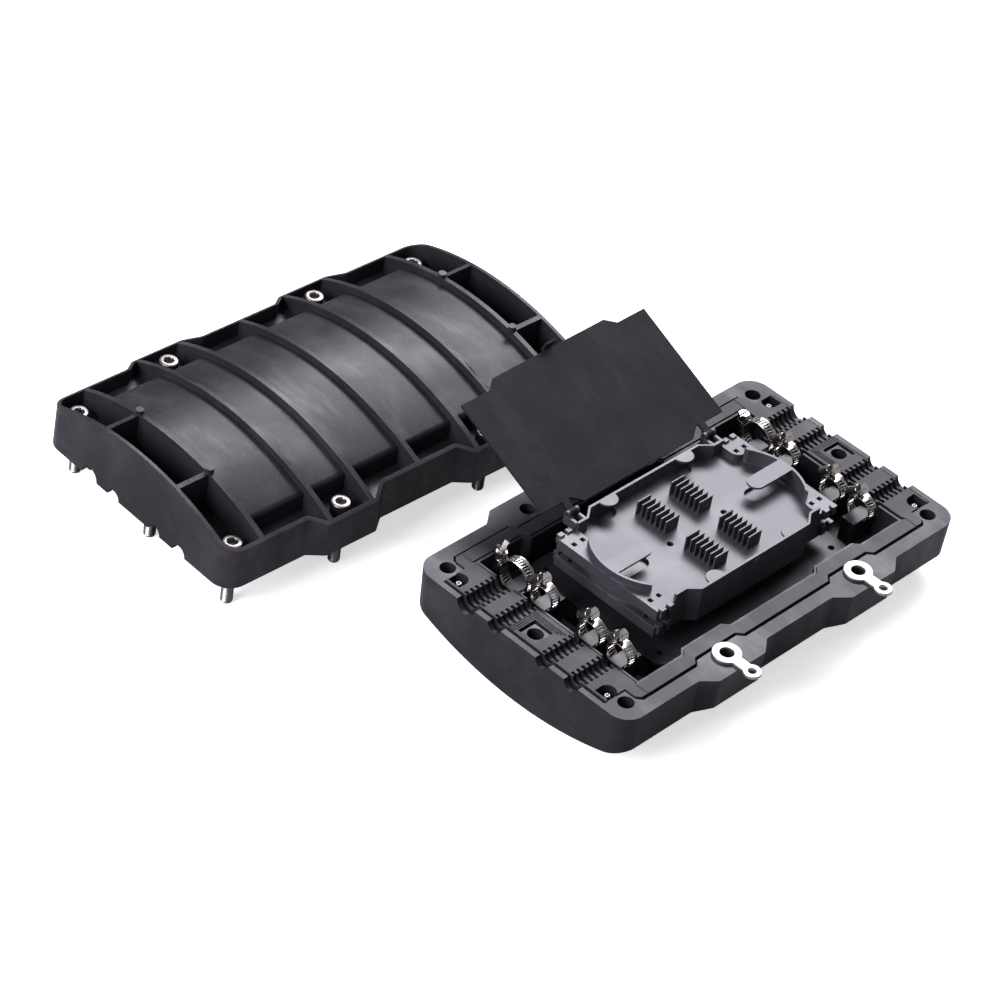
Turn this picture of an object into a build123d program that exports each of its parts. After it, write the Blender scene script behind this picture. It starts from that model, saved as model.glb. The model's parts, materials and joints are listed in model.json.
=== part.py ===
from build123d import *
import os
from math import cos, degrees, radians, sin, sqrt

# Horizontal fibre splice closure, opened: the base with its seals, clamps and
# splice trays stands at the origin, and the cover taken off it stands behind.
# X runs along the closure, Y across it, Z is up and z = 0 is the table.

# Shell plan, shared by the base and the cover
SHELL_LENGTH = 312.0
SHELL_WIDTH = 179.0
CORNER_RADIUS = 14.0
BOSS_INSET = 94.5
BOSS_REACH = 8.0
BOSS_FACE = 41.0
BOSS_SLOPE = 10.5
BOSS_ROOT_RADIUS = 3.0
BOSS_EDGE_RADIUS = 3.0
WALL = 3.0
DRAFT_ANGLE = 2.0

# Shell heights, measured from the joint face of each half
BASE_DEPTH = 45.5
BASE_SIDE_DEPTH = 28.0
COVER_DEPTH = 47.5
COVER_SIDE_DEPTH = 29.7
SEAT_DEPTH = 17.0
PANEL_DROP = 4.5
RIB_THICKNESS = 3.4
OUTER_RIB_INSET = 29.0
BOSS_RIB_OFFSET = 17.0
DOME_INSET = 19.5
DOME_EDGE_RADIUS = 4.0
POCKET_RIB_Y = 34.0
PEG_DIAMETER = 5.4
PEG_PROUD = 0.6
SPRING_INSET = 4.5

# Bolts and inserts
CORNER_BOLT_INSET = (15.0, 14.5)
SIDE_BOLT_INSET = 5.5
BOLT_DIAMETER = 8.0
BOLT_LENGTH = 40.0
BOLT_HEAD_DIAMETER = 13.0
BOLT_HEAD_HEIGHT = 8.0
BOLT_CHAMFER = 0.8
BOLT_SOCKET = 6.0
BOLT_SOCKET_DEPTH = 4.0
BOLT_CLEARANCE = 0.5
HEAD_GAP = 0.05
INSERT_DIAMETER = 10.5
INSERT_LENGTH = 14.0
INSERT_RECESS = 9.0
INSERT_BORE_STEP = 0.6
INSERT_BOSS_DIAMETER = 20.0
INSERT_BOSS_DEPTH = 27.0
BOLT_TIP_ROOM = 1.5

# Cavity and seals
CAVITY_END_INSET = 34.5
CAVITY_SIDE_INSET = 22.5
JOG = 4.0
JOG_LENGTH = 36.0
LIP = 2.0
SEAL_DEPTH = 14.0
SEAL_OUTER_INSET = 5.4
SEAL_INNER_INSET = 31.5
SEAL_SIDE_INSET = 22.0
SEAL_PROUD = 1.0
SEAL_FIT = 0.1
SEAL_END_GAP = 1.4
STRIP_WIDTH = 9.5
STRIP_DEPTH = 6.0
STRIP_GAP = 1.6
SEAM_INSET = 30.5
SEAM_GAP = 0.3
KNEE_WALL = 2.0
KNEE_CUT = 3.0
PORT_SHARE = (44 / 179, 20 / 179, -20 / 179, -44 / 179)
PORT_RADIUS = (5.4, 3.2, 3.2, 3.6)
PORT_RIB_HEIGHT = 1.8
PORT_GROOVES = 6
GROOVE_SHARE = 0.5
TOOTH_REACH = 2.9
TOOTH_DEPTH = 2.4
NOTCH_GAP = 0.5
NOTCH_OVERRUN = 5.0
CENTRE_BOSS_SIDE = 13.0
WINDOW_FIT = 0.2
WINDOW_SLOT = 1.8
RIDGE_OFFSETS = (9.6, 11.2, 12.8)
RIDGE_WIDTH = 0.7
RIDGE_HEIGHT = 0.5
SEAL_SCREW_INSET = (12.5, 27.0)
SEAL_SCREW_WELL = 11.0
SEAL_SCREW_HEAD = 4.4
SEAL_SCREW_HEIGHT = 1.8
SEAL_SCREW_DROP = 3.8
SEAL_SCREW_CROSS = (2.8, 0.7, 0.9)
PEDESTAL_DIAMETER = 5.6

# Cable clamps
CLAMP_INSET = 44.0
CLAMP_RADIUS = (11.2, 8.2, 8.2, 8.2)
BAND_WIDTH = 8.0
BAND_THICKNESS = 0.8
BAND_GAP = 0.3
SLOT_PITCH = 1.9
SLOT_WIDTH = 0.8
SLOT_LENGTH = 5.0
SLOT_START = 44.0
SLOT_END = 195.0
HOUSING_WIDTH = 10.0
HOUSING_HEIGHT = 9.0
HOUSING_WALL = 1.0
HOUSING_FIT = 0.1
WORM_DIAMETER = 5.0
WORM_FIT = 0.08
WORM_GAP = 0.15
WORM_HEAD = 6.6
WORM_HEAD_HEIGHT = 4.0
WORM_FLANGE = 1.0
WORM_TAIL = 1.0
WORM_SLOT = (1.2, 0.9)
WORM_TURN = (0.0, 48.0, 48.0, 48.0)
WING = (1.6, 3.6, 8.0)
WING_LEAN = 28.0

# Moulded brackets that hold the clamps
CABLE_BRACKET_LENGTH = 23.0
CABLE_BRACKET_GAP = 1.5
CABLE_BRACKET_DROP = 22.0
CABLE_BRACKET_SIDE_GAP = 1.0
POST_WIDTH = 10.0
POST_INSET = (3.0, 1.0)
POST_RISE = 3.0

# Trays
TRAY_CENTRE_X = 2.0
FIBRE_BAY = 14.0
TRAY_CORNER_HALF_WIDTH = 42.0
TRAY_MIDDLE_HALF_WIDTH = 48.0
TRAY_SHOULDER = 33.0
TRAY_CHAMFER = 8.0
TRAY_BOTTOM_Z = 40.0
TRAY_PITCH = 13.0
TRAY_HEIGHT = 12.6
TRAY_FLOOR = 2.0
TRAY_WALL = 1.8
DECK_HEIGHT = 5.4
DECK_LENGTH = 16.0
DECK_CORNER = 6.0
DECK_HOLE = 3.2
DECK_HOLE_INSETS = (4.4, 11.9)
DECK_HOLE_Y_INSET = 10.0
TURN_RADIUS = 40.0
TURN_HALF_CHORD = 27.0
TONGUE_WIDTH = 12.0
TONGUE_LENGTH = 30.0
TONGUE_THICKNESS = 1.5
TONGUE_SLOT_END = 5.4
TAB_X = 35.0
TAB_RADIUS = 7.0
COMB_X = 15.5
COMB_Y = 20.6
FIN_PITCH = 4.0
FIN_COUNT = 7
FIN_LENGTH = 12.0
FIN_THICKNESS = 0.9
FIN_HEIGHT = 10.0
FLOOR_HOLE_X = 25.0
FLOOR_HOLE_DIAMETER = 4.4
CLIP_INSETS = (3.5, 10.5)
CLIP_LENGTH = 4.0
CLIP_REACH = 2.4
CLIP_DROP = 5.0
CLIP_RISE = 1.4

# Lid, its hinge and its latch
LID_THICKNESS = 1.8
LID_LIFT = 0.1
LID_OPEN_ANGLE = 155.4
HINGE_Y = 50.0
HINGE_INSET = 20.0
KNUCKLE_WIDTH = 5.0
KNUCKLE_RADIUS = 2.2
PIN_DIAMETER = 2.4
PIN_FIT = 0.06
EAR_THICKNESS = 2.0
EAR_DROP = 7.0
EAR_ARM_DROP = 4.0
EAR_TOP_GAP = 1.6
HINGE_GAP = 0.3
LATCH_WIDTH = 9.0
LATCH_DROP = 6.0
LATCH_THICKNESS = 1.4
KNOB = (5.0, 0.8, 1.8)
KNOB_DROP = 4.0

# Tray bracket
BRACKET_PLATE_Z = 30.0
BRACKET_PLATE = 3.0
BRACKET_OVERHANG = 7.0
BRACKET_SIDE_GAP = 9.0
BRACKET_CORNER = 10.0
BRACKET_HOLE_INSET = 10.0
BRACKET_LEG = 14.0
RISER_INSET = 17.0
RISER_HALF_WIDTH = 38.0
RISER_WALL = 3.0

# Lugs
LUG_THICKNESS = 2.0
LUG_EYE_RADIUS = 9.4
LUG_END_RADIUS = 6.0
LUG_NECK = 8.0
LUG_SPACING = 20.5
LUG_HOLE_DIAMETER = 5.2

# Where the cover stands
COVER_X = -87.2
COVER_Y = 239.4
COVER_TURN = -2.46

# Places that follow from the shell
HALF_LENGTH = SHELL_LENGTH / 2
HALF_WIDTH = SHELL_WIDTH / 2
BOSS_X = HALF_LENGTH - BOSS_INSET
OUTER_RIB_X = HALF_LENGTH - OUTER_RIB_INSET
CORNER_BOLT_X = HALF_LENGTH - CORNER_BOLT_INSET[0]
CORNER_BOLT_Y = HALF_WIDTH - CORNER_BOLT_INSET[1]
SIDE_BOLT_Y = HALF_WIDTH - SIDE_BOLT_INSET
CAVITY_HALF_LENGTH = HALF_LENGTH - CAVITY_END_INSET
CAVITY_HALF_WIDTH = HALF_WIDTH - CAVITY_SIDE_INSET
SEAL_OUTER_X = HALF_LENGTH - SEAL_OUTER_INSET
SEAL_INNER_X = HALF_LENGTH - SEAL_INNER_INSET
SEAL_HALF_WIDTH = HALF_WIDTH - SEAL_SIDE_INSET
SEAL_SCREW_X = HALF_LENGTH - SEAL_SCREW_INSET[0]
SEAL_SCREW_Y = HALF_WIDTH - SEAL_SCREW_INSET[1]
SEAM_X = HALF_LENGTH - SEAM_INSET
PORT_Y = [share * SHELL_WIDTH for share in PORT_SHARE]
CLAMP_X = HALF_LENGTH - CLAMP_INSET
CABLE_BRACKET_END = CAVITY_HALF_LENGTH - CABLE_BRACKET_GAP
CABLE_BRACKET_START = CABLE_BRACKET_END - CABLE_BRACKET_LENGTH
TRAY_HALF_LENGTH = CABLE_BRACKET_START - FIBRE_BAY
TRAY_MIDDLE_HALF_LENGTH = TRAY_HALF_LENGTH - TRAY_SHOULDER
HINGE_X = TRAY_HALF_LENGTH - HINGE_INSET
BRACKET_HALF_LENGTH = TRAY_HALF_LENGTH + BRACKET_OVERHANG
BRACKET_HALF_WIDTH = CAVITY_HALF_WIDTH - BRACKET_SIDE_GAP
RISER_HALF_LENGTH = TRAY_HALF_LENGTH - RISER_INSET
BASE_JOINT_Z = BASE_DEPTH
COVER_JOINT_Z = BOLT_LENGTH - SEAT_DEPTH - HEAD_GAP
BOLT_SPOTS = [
    (-CORNER_BOLT_X, CORNER_BOLT_Y),
    (-CORNER_BOLT_X, 0.0),
    (-CORNER_BOLT_X, -CORNER_BOLT_Y),
    (-BOSS_X, -SIDE_BOLT_Y),
    (BOSS_X, -SIDE_BOLT_Y),
    (CORNER_BOLT_X, -CORNER_BOLT_Y),
    (CORNER_BOLT_X, 0.0),
    (CORNER_BOLT_X, CORNER_BOLT_Y),
    (BOSS_X, SIDE_BOLT_Y),
    (-BOSS_X, SIDE_BOLT_Y),
]
ENDS = (("left", -1), ("right", 1))


def block(x0, x1, y0, y1, z0, z1):
    """A box between two opposite corners."""
    box = Box(x1 - x0, y1 - y0, z1 - z0)
    return Pos((x0 + x1) / 2, (y0 + y1) / 2, (z0 + z1) / 2) * box


def rod(x, y, z0, z1, diameter):
    """An upright cylinder."""
    return Pos(x, y, (z0 + z1) / 2) * Cylinder(diameter / 2, z1 - z0)


def rod_along_x(x0, x1, y, z, radius):
    """A cylinder that lies along X."""
    return Pos((x0 + x1) / 2, y, z) * Rot(0, 90, 0) * Cylinder(radius, x1 - x0)


def prism(points, z0, z1):
    """A closed outline in plan, raised from z0 to z1."""
    face = make_face(Polyline(*points, close=True))
    return extrude(Pos(0, 0, z0) * face, amount=z1 - z0, dir=(0, 0, 1))


def shell_plan(inset):
    """The plan of both shells, drawn in by an inset all round."""
    half_width = HALF_WIDTH - inset
    plan = RectangleRounded(SHELL_LENGTH - 2 * inset, 2 * half_width, CORNER_RADIUS - inset)
    side = sqrt(BOSS_REACH**2 + BOSS_SLOPE**2)
    shift = inset * (side - BOSS_SLOPE) / BOSS_REACH
    outer = BOSS_FACE / 2 - shift
    inner = outer + BOSS_SLOPE
    for x in (-BOSS_X, BOSS_X):
        for sign in (-1, 1):
            foot = sign * half_width
            top = sign * (half_width + BOSS_REACH)
            root = sign * (half_width - WALL)
            plan += make_face(
                Polyline(
                    (x - inner, root), (x - inner, foot), (x - outer, top),
                    (x + outer, top), (x + inner, foot), (x + inner, root), close=True,
                )
            )
    beside = [v for v in plan.vertices() if abs(v.X) < HALF_LENGTH - CORNER_RADIUS - 1]
    plan = fillet([v for v in beside if abs(v.Y) < half_width + BOSS_REACH / 2], BOSS_ROOT_RADIUS + inset)
    tips = [v for v in plan.vertices() if abs(v.Y) > half_width + BOSS_REACH * 0.9]
    return fillet(tips, BOSS_EDGE_RADIUS - inset / 2)


def arch(depth, side_depth, drop):
    """A long cylinder whose top is the arched back of a shell, lowered by a drop."""
    half_chord = HALF_WIDTH - SPRING_INSET
    rise = depth - side_depth
    radius = (half_chord**2 + rise**2) / (2 * rise)
    return rod_along_x(-SHELL_LENGTH, SHELL_LENGTH, 0, depth - radius, radius - drop)


def base_floor():
    """The space over the curved inner floor of the base."""
    inside = arch(BASE_DEPTH - PEG_PROUD, BASE_SIDE_DEPTH, PANEL_DROP + WALL)
    return Pos(0, 0, BASE_JOINT_Z) * mirror(inside, about=Plane.XY)


def cavity_plan():
    """The inside of the shells in plan, stepped in beside the side bolts."""
    plan = Rectangle(2 * CAVITY_HALF_LENGTH, 2 * CAVITY_HALF_WIDTH)
    for x in (-BOSS_X, BOSS_X):
        for sign in (-1, 1):
            edge = sign * CAVITY_HALF_WIDTH
            plan -= make_face(
                Polyline(
                    (x - JOG_LENGTH / 2 - JOG, edge), (x - JOG_LENGTH / 2, edge - sign * JOG),
                    (x + JOG_LENGTH / 2, edge - sign * JOG), (x + JOG_LENGTH / 2 + JOG, edge), close=True,
                )
            )
    return plan


def strip_points(sign, fit, outer_gap):
    """The outline of one side strip from seam to seam; the groove has a fit and an outer gap."""
    inner = CAVITY_HALF_WIDTH + LIP - fit
    outer = CAVITY_HALF_WIDTH + LIP + STRIP_WIDTH + outer_gap
    end = SEAM_X + fit
    inner_run = []
    outer_run = []
    for x in (-BOSS_X, BOSS_X):
        low = x - JOG_LENGTH / 2
        high = x + JOG_LENGTH / 2
        inner_run += [(low - JOG, inner), (low, inner - JOG), (high, inner - JOG), (high + JOG, inner)]
        outer_run += [(low - JOG, outer), (low, outer - JOG), (high, outer - JOG), (high + JOG, outer)]
    run = [(-end, inner)] + inner_run + [(end, inner), (end, outer)] + outer_run[::-1] + [(-end, outer)]
    return [(x, sign * y) for x, y in run]


def seal_points(end, fit, end_gap, outer_gap):
    """The outline of one end seal: the port block and the two corner arms to the seams."""
    outer_x = SEAL_OUTER_X + end_gap
    inner_x = SEAL_INNER_X - end_gap
    half = SEAL_HALF_WIDTH + fit
    strip_inner = CAVITY_HALF_WIDTH + LIP - fit
    strip_outer = CAVITY_HALF_WIDTH + LIP + STRIP_WIDTH + outer_gap
    seam = SEAM_X + SEAM_GAP - fit
    knee = CORNER_BOLT_X - INSERT_DIAMETER / 2 - KNEE_WALL + fit
    near = [
        (outer_x, 0), (outer_x, half), (knee, half), (knee, strip_outer - KNEE_CUT),
        (knee - KNEE_CUT, strip_outer), (seam, strip_outer), (seam, strip_inner),
        (inner_x, strip_inner - LIP), (inner_x, 0),
    ]
    far = [(x, -y) for x, y in near[-2:0:-1]]
    return [(end * x, y) for x, y in near + far]


def port_channel(end, index, radius, x0, x1):
    """A round bore along one cable port, on the joint face."""
    return rod_along_x(min(end * x0, end * x1), max(end * x0, end * x1), PORT_Y[index], 0, radius)


def screw_well(end, sign, z0, z1):
    """The deep D-shaped well round one seal screw, its flat side towards the outer end."""
    x = end * SEAL_SCREW_X
    y = sign * SEAL_SCREW_Y
    half = SEAL_SCREW_WELL / 2
    x0, x1 = sorted((x, x + end * half))
    return rod(x, y, z0, z1, SEAL_SCREW_WELL) + block(x0, x1, y - half, y + half, z0, z1)


def dome(depth, panel):
    """The arched middle panel, with its two long edges rounded."""
    half_width = HALF_WIDTH - DOME_INSET
    end = OUTER_RIB_X + RIB_THICKNESS / 2
    body = block(-end, end, -half_width, half_width, 0, depth) & panel
    edges = [e for e in body.edges().filter_by(Axis.X) if e.center().Z > SEAT_DEPTH]
    sides = [e for e in edges if abs(e.center().Y) > half_width - WALL]
    return fillet(sides, DOME_EDGE_RADIUS)


def half_shell(depth, side_depth, with_inserts):
    """One ribbed shell half, joint face at z = 0 and its arched back upward."""
    plan = shell_plan(0)
    back = arch(depth, side_depth, 0)
    outside = extrude(plan, amount=depth, dir=(0, 0, 1), taper=DRAFT_ANGLE) & back
    hollow = extrude(Pos(0, 0, SEAT_DEPTH) * shell_plan(WALL), amount=depth, dir=(0, 0, 1), taper=DRAFT_ANGLE)

    # What stays standing inside the outer wall: the dome, the ribs and the pocket ribs
    half_rib = RIB_THICKNESS / 2
    keep = dome(depth, arch(depth, side_depth, PANEL_DROP))
    rib_spots = [0.0, -OUTER_RIB_X, OUTER_RIB_X]
    for x in (-BOSS_X, BOSS_X):
        rib_spots += [x - BOSS_RIB_OFFSET, x + BOSS_RIB_OFFSET]
    for x in rib_spots:
        keep += block(x - half_rib, x + half_rib, -SHELL_WIDTH, SHELL_WIDTH, 0, depth) & back
    for end in (-1, 1):
        for y in (-POCKET_RIB_Y, POCKET_RIB_Y):
            x0, x1 = sorted((end * OUTER_RIB_X, end * HALF_LENGTH))
            keep += block(x0, x1, y - half_rib, y + half_rib, 0, depth) & back
    if with_inserts:
        for x, y in BOLT_SPOTS:
            keep += rod(x, y, 0, INSERT_BOSS_DEPTH, INSERT_BOSS_DIAMETER)
    body = outside - (hollow - keep)

    for end in (-1, 1):
        for y in (-POCKET_RIB_Y, POCKET_RIB_Y):
            body += rod(end * OUTER_RIB_X, y, SEAT_DEPTH, depth + PEG_PROUD, PEG_DIAMETER)

    cavity = extrude(cavity_plan(), amount=depth, dir=(0, 0, 1)) & arch(depth, side_depth, PANEL_DROP + WALL)
    body -= cavity

    # Seal pockets, the port notches in the end walls and the strip grooves
    side = CENTRE_BOSS_SIDE / 2
    for end in (-1, 1):
        pocket = prism(seal_points(end, SEAL_FIT, SEAL_END_GAP, STRIP_GAP), 0, SEAL_DEPTH)
        centre = end * CORNER_BOLT_X
        pocket -= block(centre - side, centre + side, -side, side, 0, SEAL_DEPTH)
        for sign in (-1, 1):
            spot = (end * SEAL_SCREW_X, sign * SEAL_SCREW_Y)
            pocket -= rod(*spot, SEAL_SCREW_DROP, SEAL_DEPTH, PEDESTAL_DIAMETER)
        body -= pocket
        for index, radius in enumerate(PORT_RADIUS):
            notch = radius + PORT_RIB_HEIGHT + NOTCH_GAP
            start = CAVITY_HALF_LENGTH - WALL
            body -= port_channel(end, index, notch, start, HALF_LENGTH + NOTCH_OVERRUN)
    for sign in (-1, 1):
        body -= prism(strip_points(sign, SEAL_FIT, STRIP_GAP), 0, STRIP_DEPTH)
    return body


def base_shell():
    """The lower shell, with blind insert holes in its ten bolt bosses."""
    body = half_shell(BASE_DEPTH - PEG_PROUD, BASE_SIDE_DEPTH, True)
    for x, y in BOLT_SPOTS:
        body -= rod(x, y, -1, INSERT_RECESS + INSERT_LENGTH, INSERT_DIAMETER)
        body -= rod(x, y, 0, INSERT_RECESS + INSERT_LENGTH + BOLT_TIP_ROOM, BOLT_DIAMETER + 2 * BOLT_CLEARANCE)
    return Pos(0, 0, BASE_JOINT_Z) * mirror(body, about=Plane.XY)


def cover_shell():
    """The upper shell, with ten through holes for its captive bolts."""
    body = half_shell(COVER_DEPTH, COVER_SIDE_DEPTH, False)
    for x, y in BOLT_SPOTS:
        body -= rod(x, y, -1, SEAT_DEPTH + 1, BOLT_DIAMETER + 2 * BOLT_CLEARANCE)
    return body


def end_seal(end, ribbed):
    """A rubber port block, top face at z = 0; only the base's one has its ribs and teeth."""
    body = prism(seal_points(end, 0, 0, 0), -SEAL_DEPTH, SEAL_PROUD)
    centre = end * CORNER_BOLT_X
    side = CENTRE_BOSS_SIDE / 2
    low = side + WINDOW_FIT
    high = side + WINDOW_SLOT
    window = block(centre - low, centre + high, -low, high, -SEAL_DEPTH - 1, SEAL_PROUD + 1)
    body -= window
    for sign in (-1, 1):
        body -= screw_well(end, sign, -SEAL_DEPTH - 1, SEAL_PROUD + 1)
    for index, radius in enumerate(PORT_RADIUS):
        body -= port_channel(end, index, radius, SEAL_INNER_X - 1, SEAL_OUTER_X + 1)
    if ribbed:
        for index, radius in enumerate(PORT_RADIUS):
            for x0, x1 in groove_spans(end):
                body -= rod_along_x(x0, x1, PORT_Y[index], 0, radius + PORT_RIB_HEIGHT)
                reach = radius + TOOTH_REACH
                body -= block(x0, x1, PORT_Y[index] - reach, PORT_Y[index] + reach, -TOOTH_DEPTH, SEAL_PROUD + 1)
        body += centre_ridges(end)
    return body


def groove_spans(end):
    """Where the grooves between the ribs of a port start and stop along X."""
    pitch = (SEAL_OUTER_X - SEAL_INNER_X) / PORT_GROOVES
    margin = (1 - GROOVE_SHARE) / 2 * pitch
    spans = []
    for groove in range(PORT_GROOVES):
        x0 = SEAL_INNER_X + groove * pitch + margin
        spans.append(sorted((end * x0, end * (x0 + GROOVE_SHARE * pitch))))
    return spans


def centre_ridges(end):
    """Nested L-shaped ridges on the centre pad, round its far and inner sides."""
    top = SEAL_PROUD + RIDGE_HEIGHT
    centre = end * CORNER_BOLT_X
    outer = SEAL_OUTER_X - CORNER_BOLT_X
    ridges = []
    for offset in RIDGE_OFFSETS:
        far = offset + RIDGE_WIDTH
        x0, x1 = sorted((centre + end * outer, centre - end * far))
        ridges.append(block(x0, x1, offset, far, SEAL_PROUD - RIDGE_HEIGHT, top))
        x0, x1 = sorted((centre - end * offset, centre - end * far))
        ridges.append(block(x0, x1, -offset, far, SEAL_PROUD - RIDGE_HEIGHT, top))
    return ridges


def side_gasket(sign):
    """A rubber strip along one long side, between the seams of the end seals."""
    return prism(strip_points(sign, 0, 0), -STRIP_DEPTH, SEAL_PROUD)


def threaded_inserts():
    """The ten brass inserts of the base."""
    inserts = []
    top = BASE_JOINT_Z - INSERT_RECESS
    for x, y in BOLT_SPOTS:
        insert = rod(x, y, top - INSERT_LENGTH, top, INSERT_DIAMETER)
        insert -= rod(x, y, top - INSERT_LENGTH - 1, top + 1, BOLT_DIAMETER - INSERT_BORE_STEP)
        inserts.append(insert)
    return Compound(children=inserts)


def seal_screws():
    """Four cross-head screws that hold the end seals down in their wells."""
    screws = []
    seat = BASE_JOINT_Z - SEAL_SCREW_DROP
    top = seat + SEAL_SCREW_HEIGHT
    long, wide, deep = SEAL_SCREW_CROSS
    for end in (-1, 1):
        for sign in (-1, 1):
            x = end * SEAL_SCREW_X
            y = sign * SEAL_SCREW_Y
            head = rod(x, y, seat, top, SEAL_SCREW_HEAD)
            head = chamfer(head.edges().group_by(Axis.Z)[-1], SEAL_SCREW_HEIGHT / 3)
            head -= block(x - long / 2, x + long / 2, y - wide / 2, y + wide / 2, top - deep, top + 1)
            head -= block(x - wide / 2, x + wide / 2, y - long / 2, y + long / 2, top - deep, top + 1)
            screws.append(head)
    return Compound(children=screws)


def clamp_band(end, index):
    """One worm-drive band round its cable axis, slotted from the worm over the near side."""
    radius = CLAMP_RADIUS[index]
    y = PORT_Y[index]
    x0 = end * CLAMP_X - BAND_WIDTH / 2
    band = rod_along_x(x0, x0 + BAND_WIDTH, y, BASE_JOINT_Z, radius + BAND_THICKNESS)
    band -= rod_along_x(x0 - 1, x0 + BAND_WIDTH + 1, y, BASE_JOINT_Z, radius)
    step = degrees(SLOT_PITCH / radius)
    angle = WORM_TURN[index] + SLOT_START
    while angle < SLOT_END:
        cutter = Box(SLOT_LENGTH, SLOT_WIDTH, 4 * BAND_THICKNESS)
        along = y + radius * cos(radians(angle))
        height = BASE_JOINT_Z + radius * sin(radians(angle))
        band -= Pos(end * CLAMP_X, along, height) * Rot(angle - 90, 0, 0) * cutter
        angle += step
    return band


def turned(shape, index):
    """Turns a clamp piece round its cable axis to where its worm sits."""
    axis = Axis((0, PORT_Y[index], BASE_JOINT_Z), (1, 0, 0))
    return shape.rotate(axis, WORM_TURN[index])


def worm_axis_y(index):
    """Where the worm screw of a clamp stands before it is turned to its place."""
    return PORT_Y[index] + CLAMP_RADIUS[index] + BAND_THICKNESS + WORM_DIAMETER / 2 + WORM_GAP


def clamp_housing(end, index):
    """The pressed steel housing that holds the worm against the band."""
    x = end * CLAMP_X
    inner = PORT_Y[index] + CLAMP_RADIUS[index] + BAND_THICKNESS + BAND_GAP / 3
    outer = worm_axis_y(index) + WORM_DIAMETER / 2 + HOUSING_WALL
    z0 = BASE_JOINT_Z - HOUSING_HEIGHT / 2
    z1 = BASE_JOINT_Z + HOUSING_HEIGHT / 2
    half = HOUSING_WIDTH / 2
    radius = CLAMP_RADIUS[index]
    housing = block(x - half, x + half, inner - HOUSING_WALL - BAND_THICKNESS - HOUSING_FIT, outer, z0, z1)
    outside = radius + BAND_THICKNESS + HOUSING_FIT
    ring = rod_along_x(x - half - 1, x + half + 1, PORT_Y[index], BASE_JOINT_Z, outside)
    ring -= rod_along_x(x - half - 2, x + half + 2, PORT_Y[index], BASE_JOINT_Z, radius - HOUSING_FIT)
    housing -= ring
    housing -= rod(x, worm_axis_y(index), z0 - 1, z1 + 1, WORM_DIAMETER + 2 * WORM_FIT)
    solids = housing.solids()
    return turned(max(solids, key=lambda solid: solid.volume), index)


def clamp_screw(end, index):
    """The slotted hexagon worm screw of one clamp; the first one has wings."""
    x = end * CLAMP_X
    y = worm_axis_y(index)
    flange = BASE_JOINT_Z + HOUSING_HEIGHT / 2 + HOUSING_FIT
    bottom = BASE_JOINT_Z - HOUSING_HEIGHT / 2 - WORM_TAIL
    top = flange + WORM_FLANGE + WORM_HEAD_HEIGHT
    screw = rod(x, y, bottom, flange + WORM_FLANGE, WORM_DIAMETER)
    screw += rod(x, y, flange, flange + WORM_FLANGE, WORM_HEAD)
    head = extrude(RegularPolygon(WORM_HEAD / 2, 6, major_radius=False), amount=WORM_HEAD_HEIGHT)
    screw += Pos(x, y, flange + WORM_FLANGE) * head
    if end < 0 and index == 0:
        for lean in (-WING_LEAN, WING_LEAN):
            wing = Pos(0, 0, WING[2] / 2) * Box(*WING)
            screw += Pos(x, y, top - WORM_FLANGE) * Rot(0, lean, 0) * wing
    else:
        width, depth = WORM_SLOT
        screw -= block(x - WORM_HEAD, x + WORM_HEAD, y - width / 2, y + width / 2, top - depth, top + 1)
    return turned(screw, index)


def cable_bracket(end):
    """The moulded bracket whose four posts hold the clamps of one end."""
    x0, x1 = sorted((end * CABLE_BRACKET_START, end * CABLE_BRACKET_END))
    side = CAVITY_HALF_WIDTH - CABLE_BRACKET_SIDE_GAP
    body = block(x0, x1, -side, side, 0, BASE_JOINT_Z - CABLE_BRACKET_DROP)
    half = POST_WIDTH / 2
    for index, radius in enumerate(CLAMP_RADIUS):
        y = PORT_Y[index]
        top = BASE_JOINT_Z - radius + POST_RISE
        body += block(x0 + POST_INSET[0], x1 - POST_INSET[1], y - half, y + half, 0, top)
    body &= base_floor()
    for index, radius in enumerate(CLAMP_RADIUS):
        y = PORT_Y[index]
        half = BAND_WIDTH / 2 + BAND_GAP
        x = end * CLAMP_X
        slot = rod_along_x(x - half, x + half, y, BASE_JOINT_Z, radius + BAND_THICKNESS + BAND_GAP)
        slot -= rod_along_x(x - half - 1, x + half + 1, y, BASE_JOINT_Z, radius - BAND_GAP)
        body -= slot
    return body


def tray_bracket():
    """The plate under the trays: four legs on the curved floor and a raised frame."""
    z1 = BRACKET_PLATE_Z
    z0 = z1 - BRACKET_PLATE
    a = BRACKET_HALF_LENGTH
    b = BRACKET_HALF_WIDTH
    outline = RectangleRounded(2 * a, 2 * b, BRACKET_CORNER)
    plate = extrude(Pos(TRAY_CENTRE_X, 0, z0) * outline, amount=BRACKET_PLATE)
    floor = base_floor()
    for sx in (-1, 1):
        for sy in (-1, 1):
            x = TRAY_CENTRE_X + sx * (a - BRACKET_HOLE_INSET)
            y = sy * (b - BRACKET_HOLE_INSET)
            plate += rod(x, y, 0, z1, BRACKET_LEG) & floor
            plate -= rod(x, y, z0 - BRACKET_PLATE, z1 + 1, FLOOR_HOLE_DIAMETER)
    a = RISER_HALF_LENGTH
    b = RISER_HALF_WIDTH
    frame = block(-a, a, -b, b, z0, TRAY_BOTTOM_Z)
    frame -= block(-a + RISER_WALL, a - RISER_WALL, -b + RISER_WALL, b - RISER_WALL, z0 - 1, TRAY_BOTTOM_Z + 1)
    plate += Pos(TRAY_CENTRE_X, 0, 0) * frame
    return plate


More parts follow.
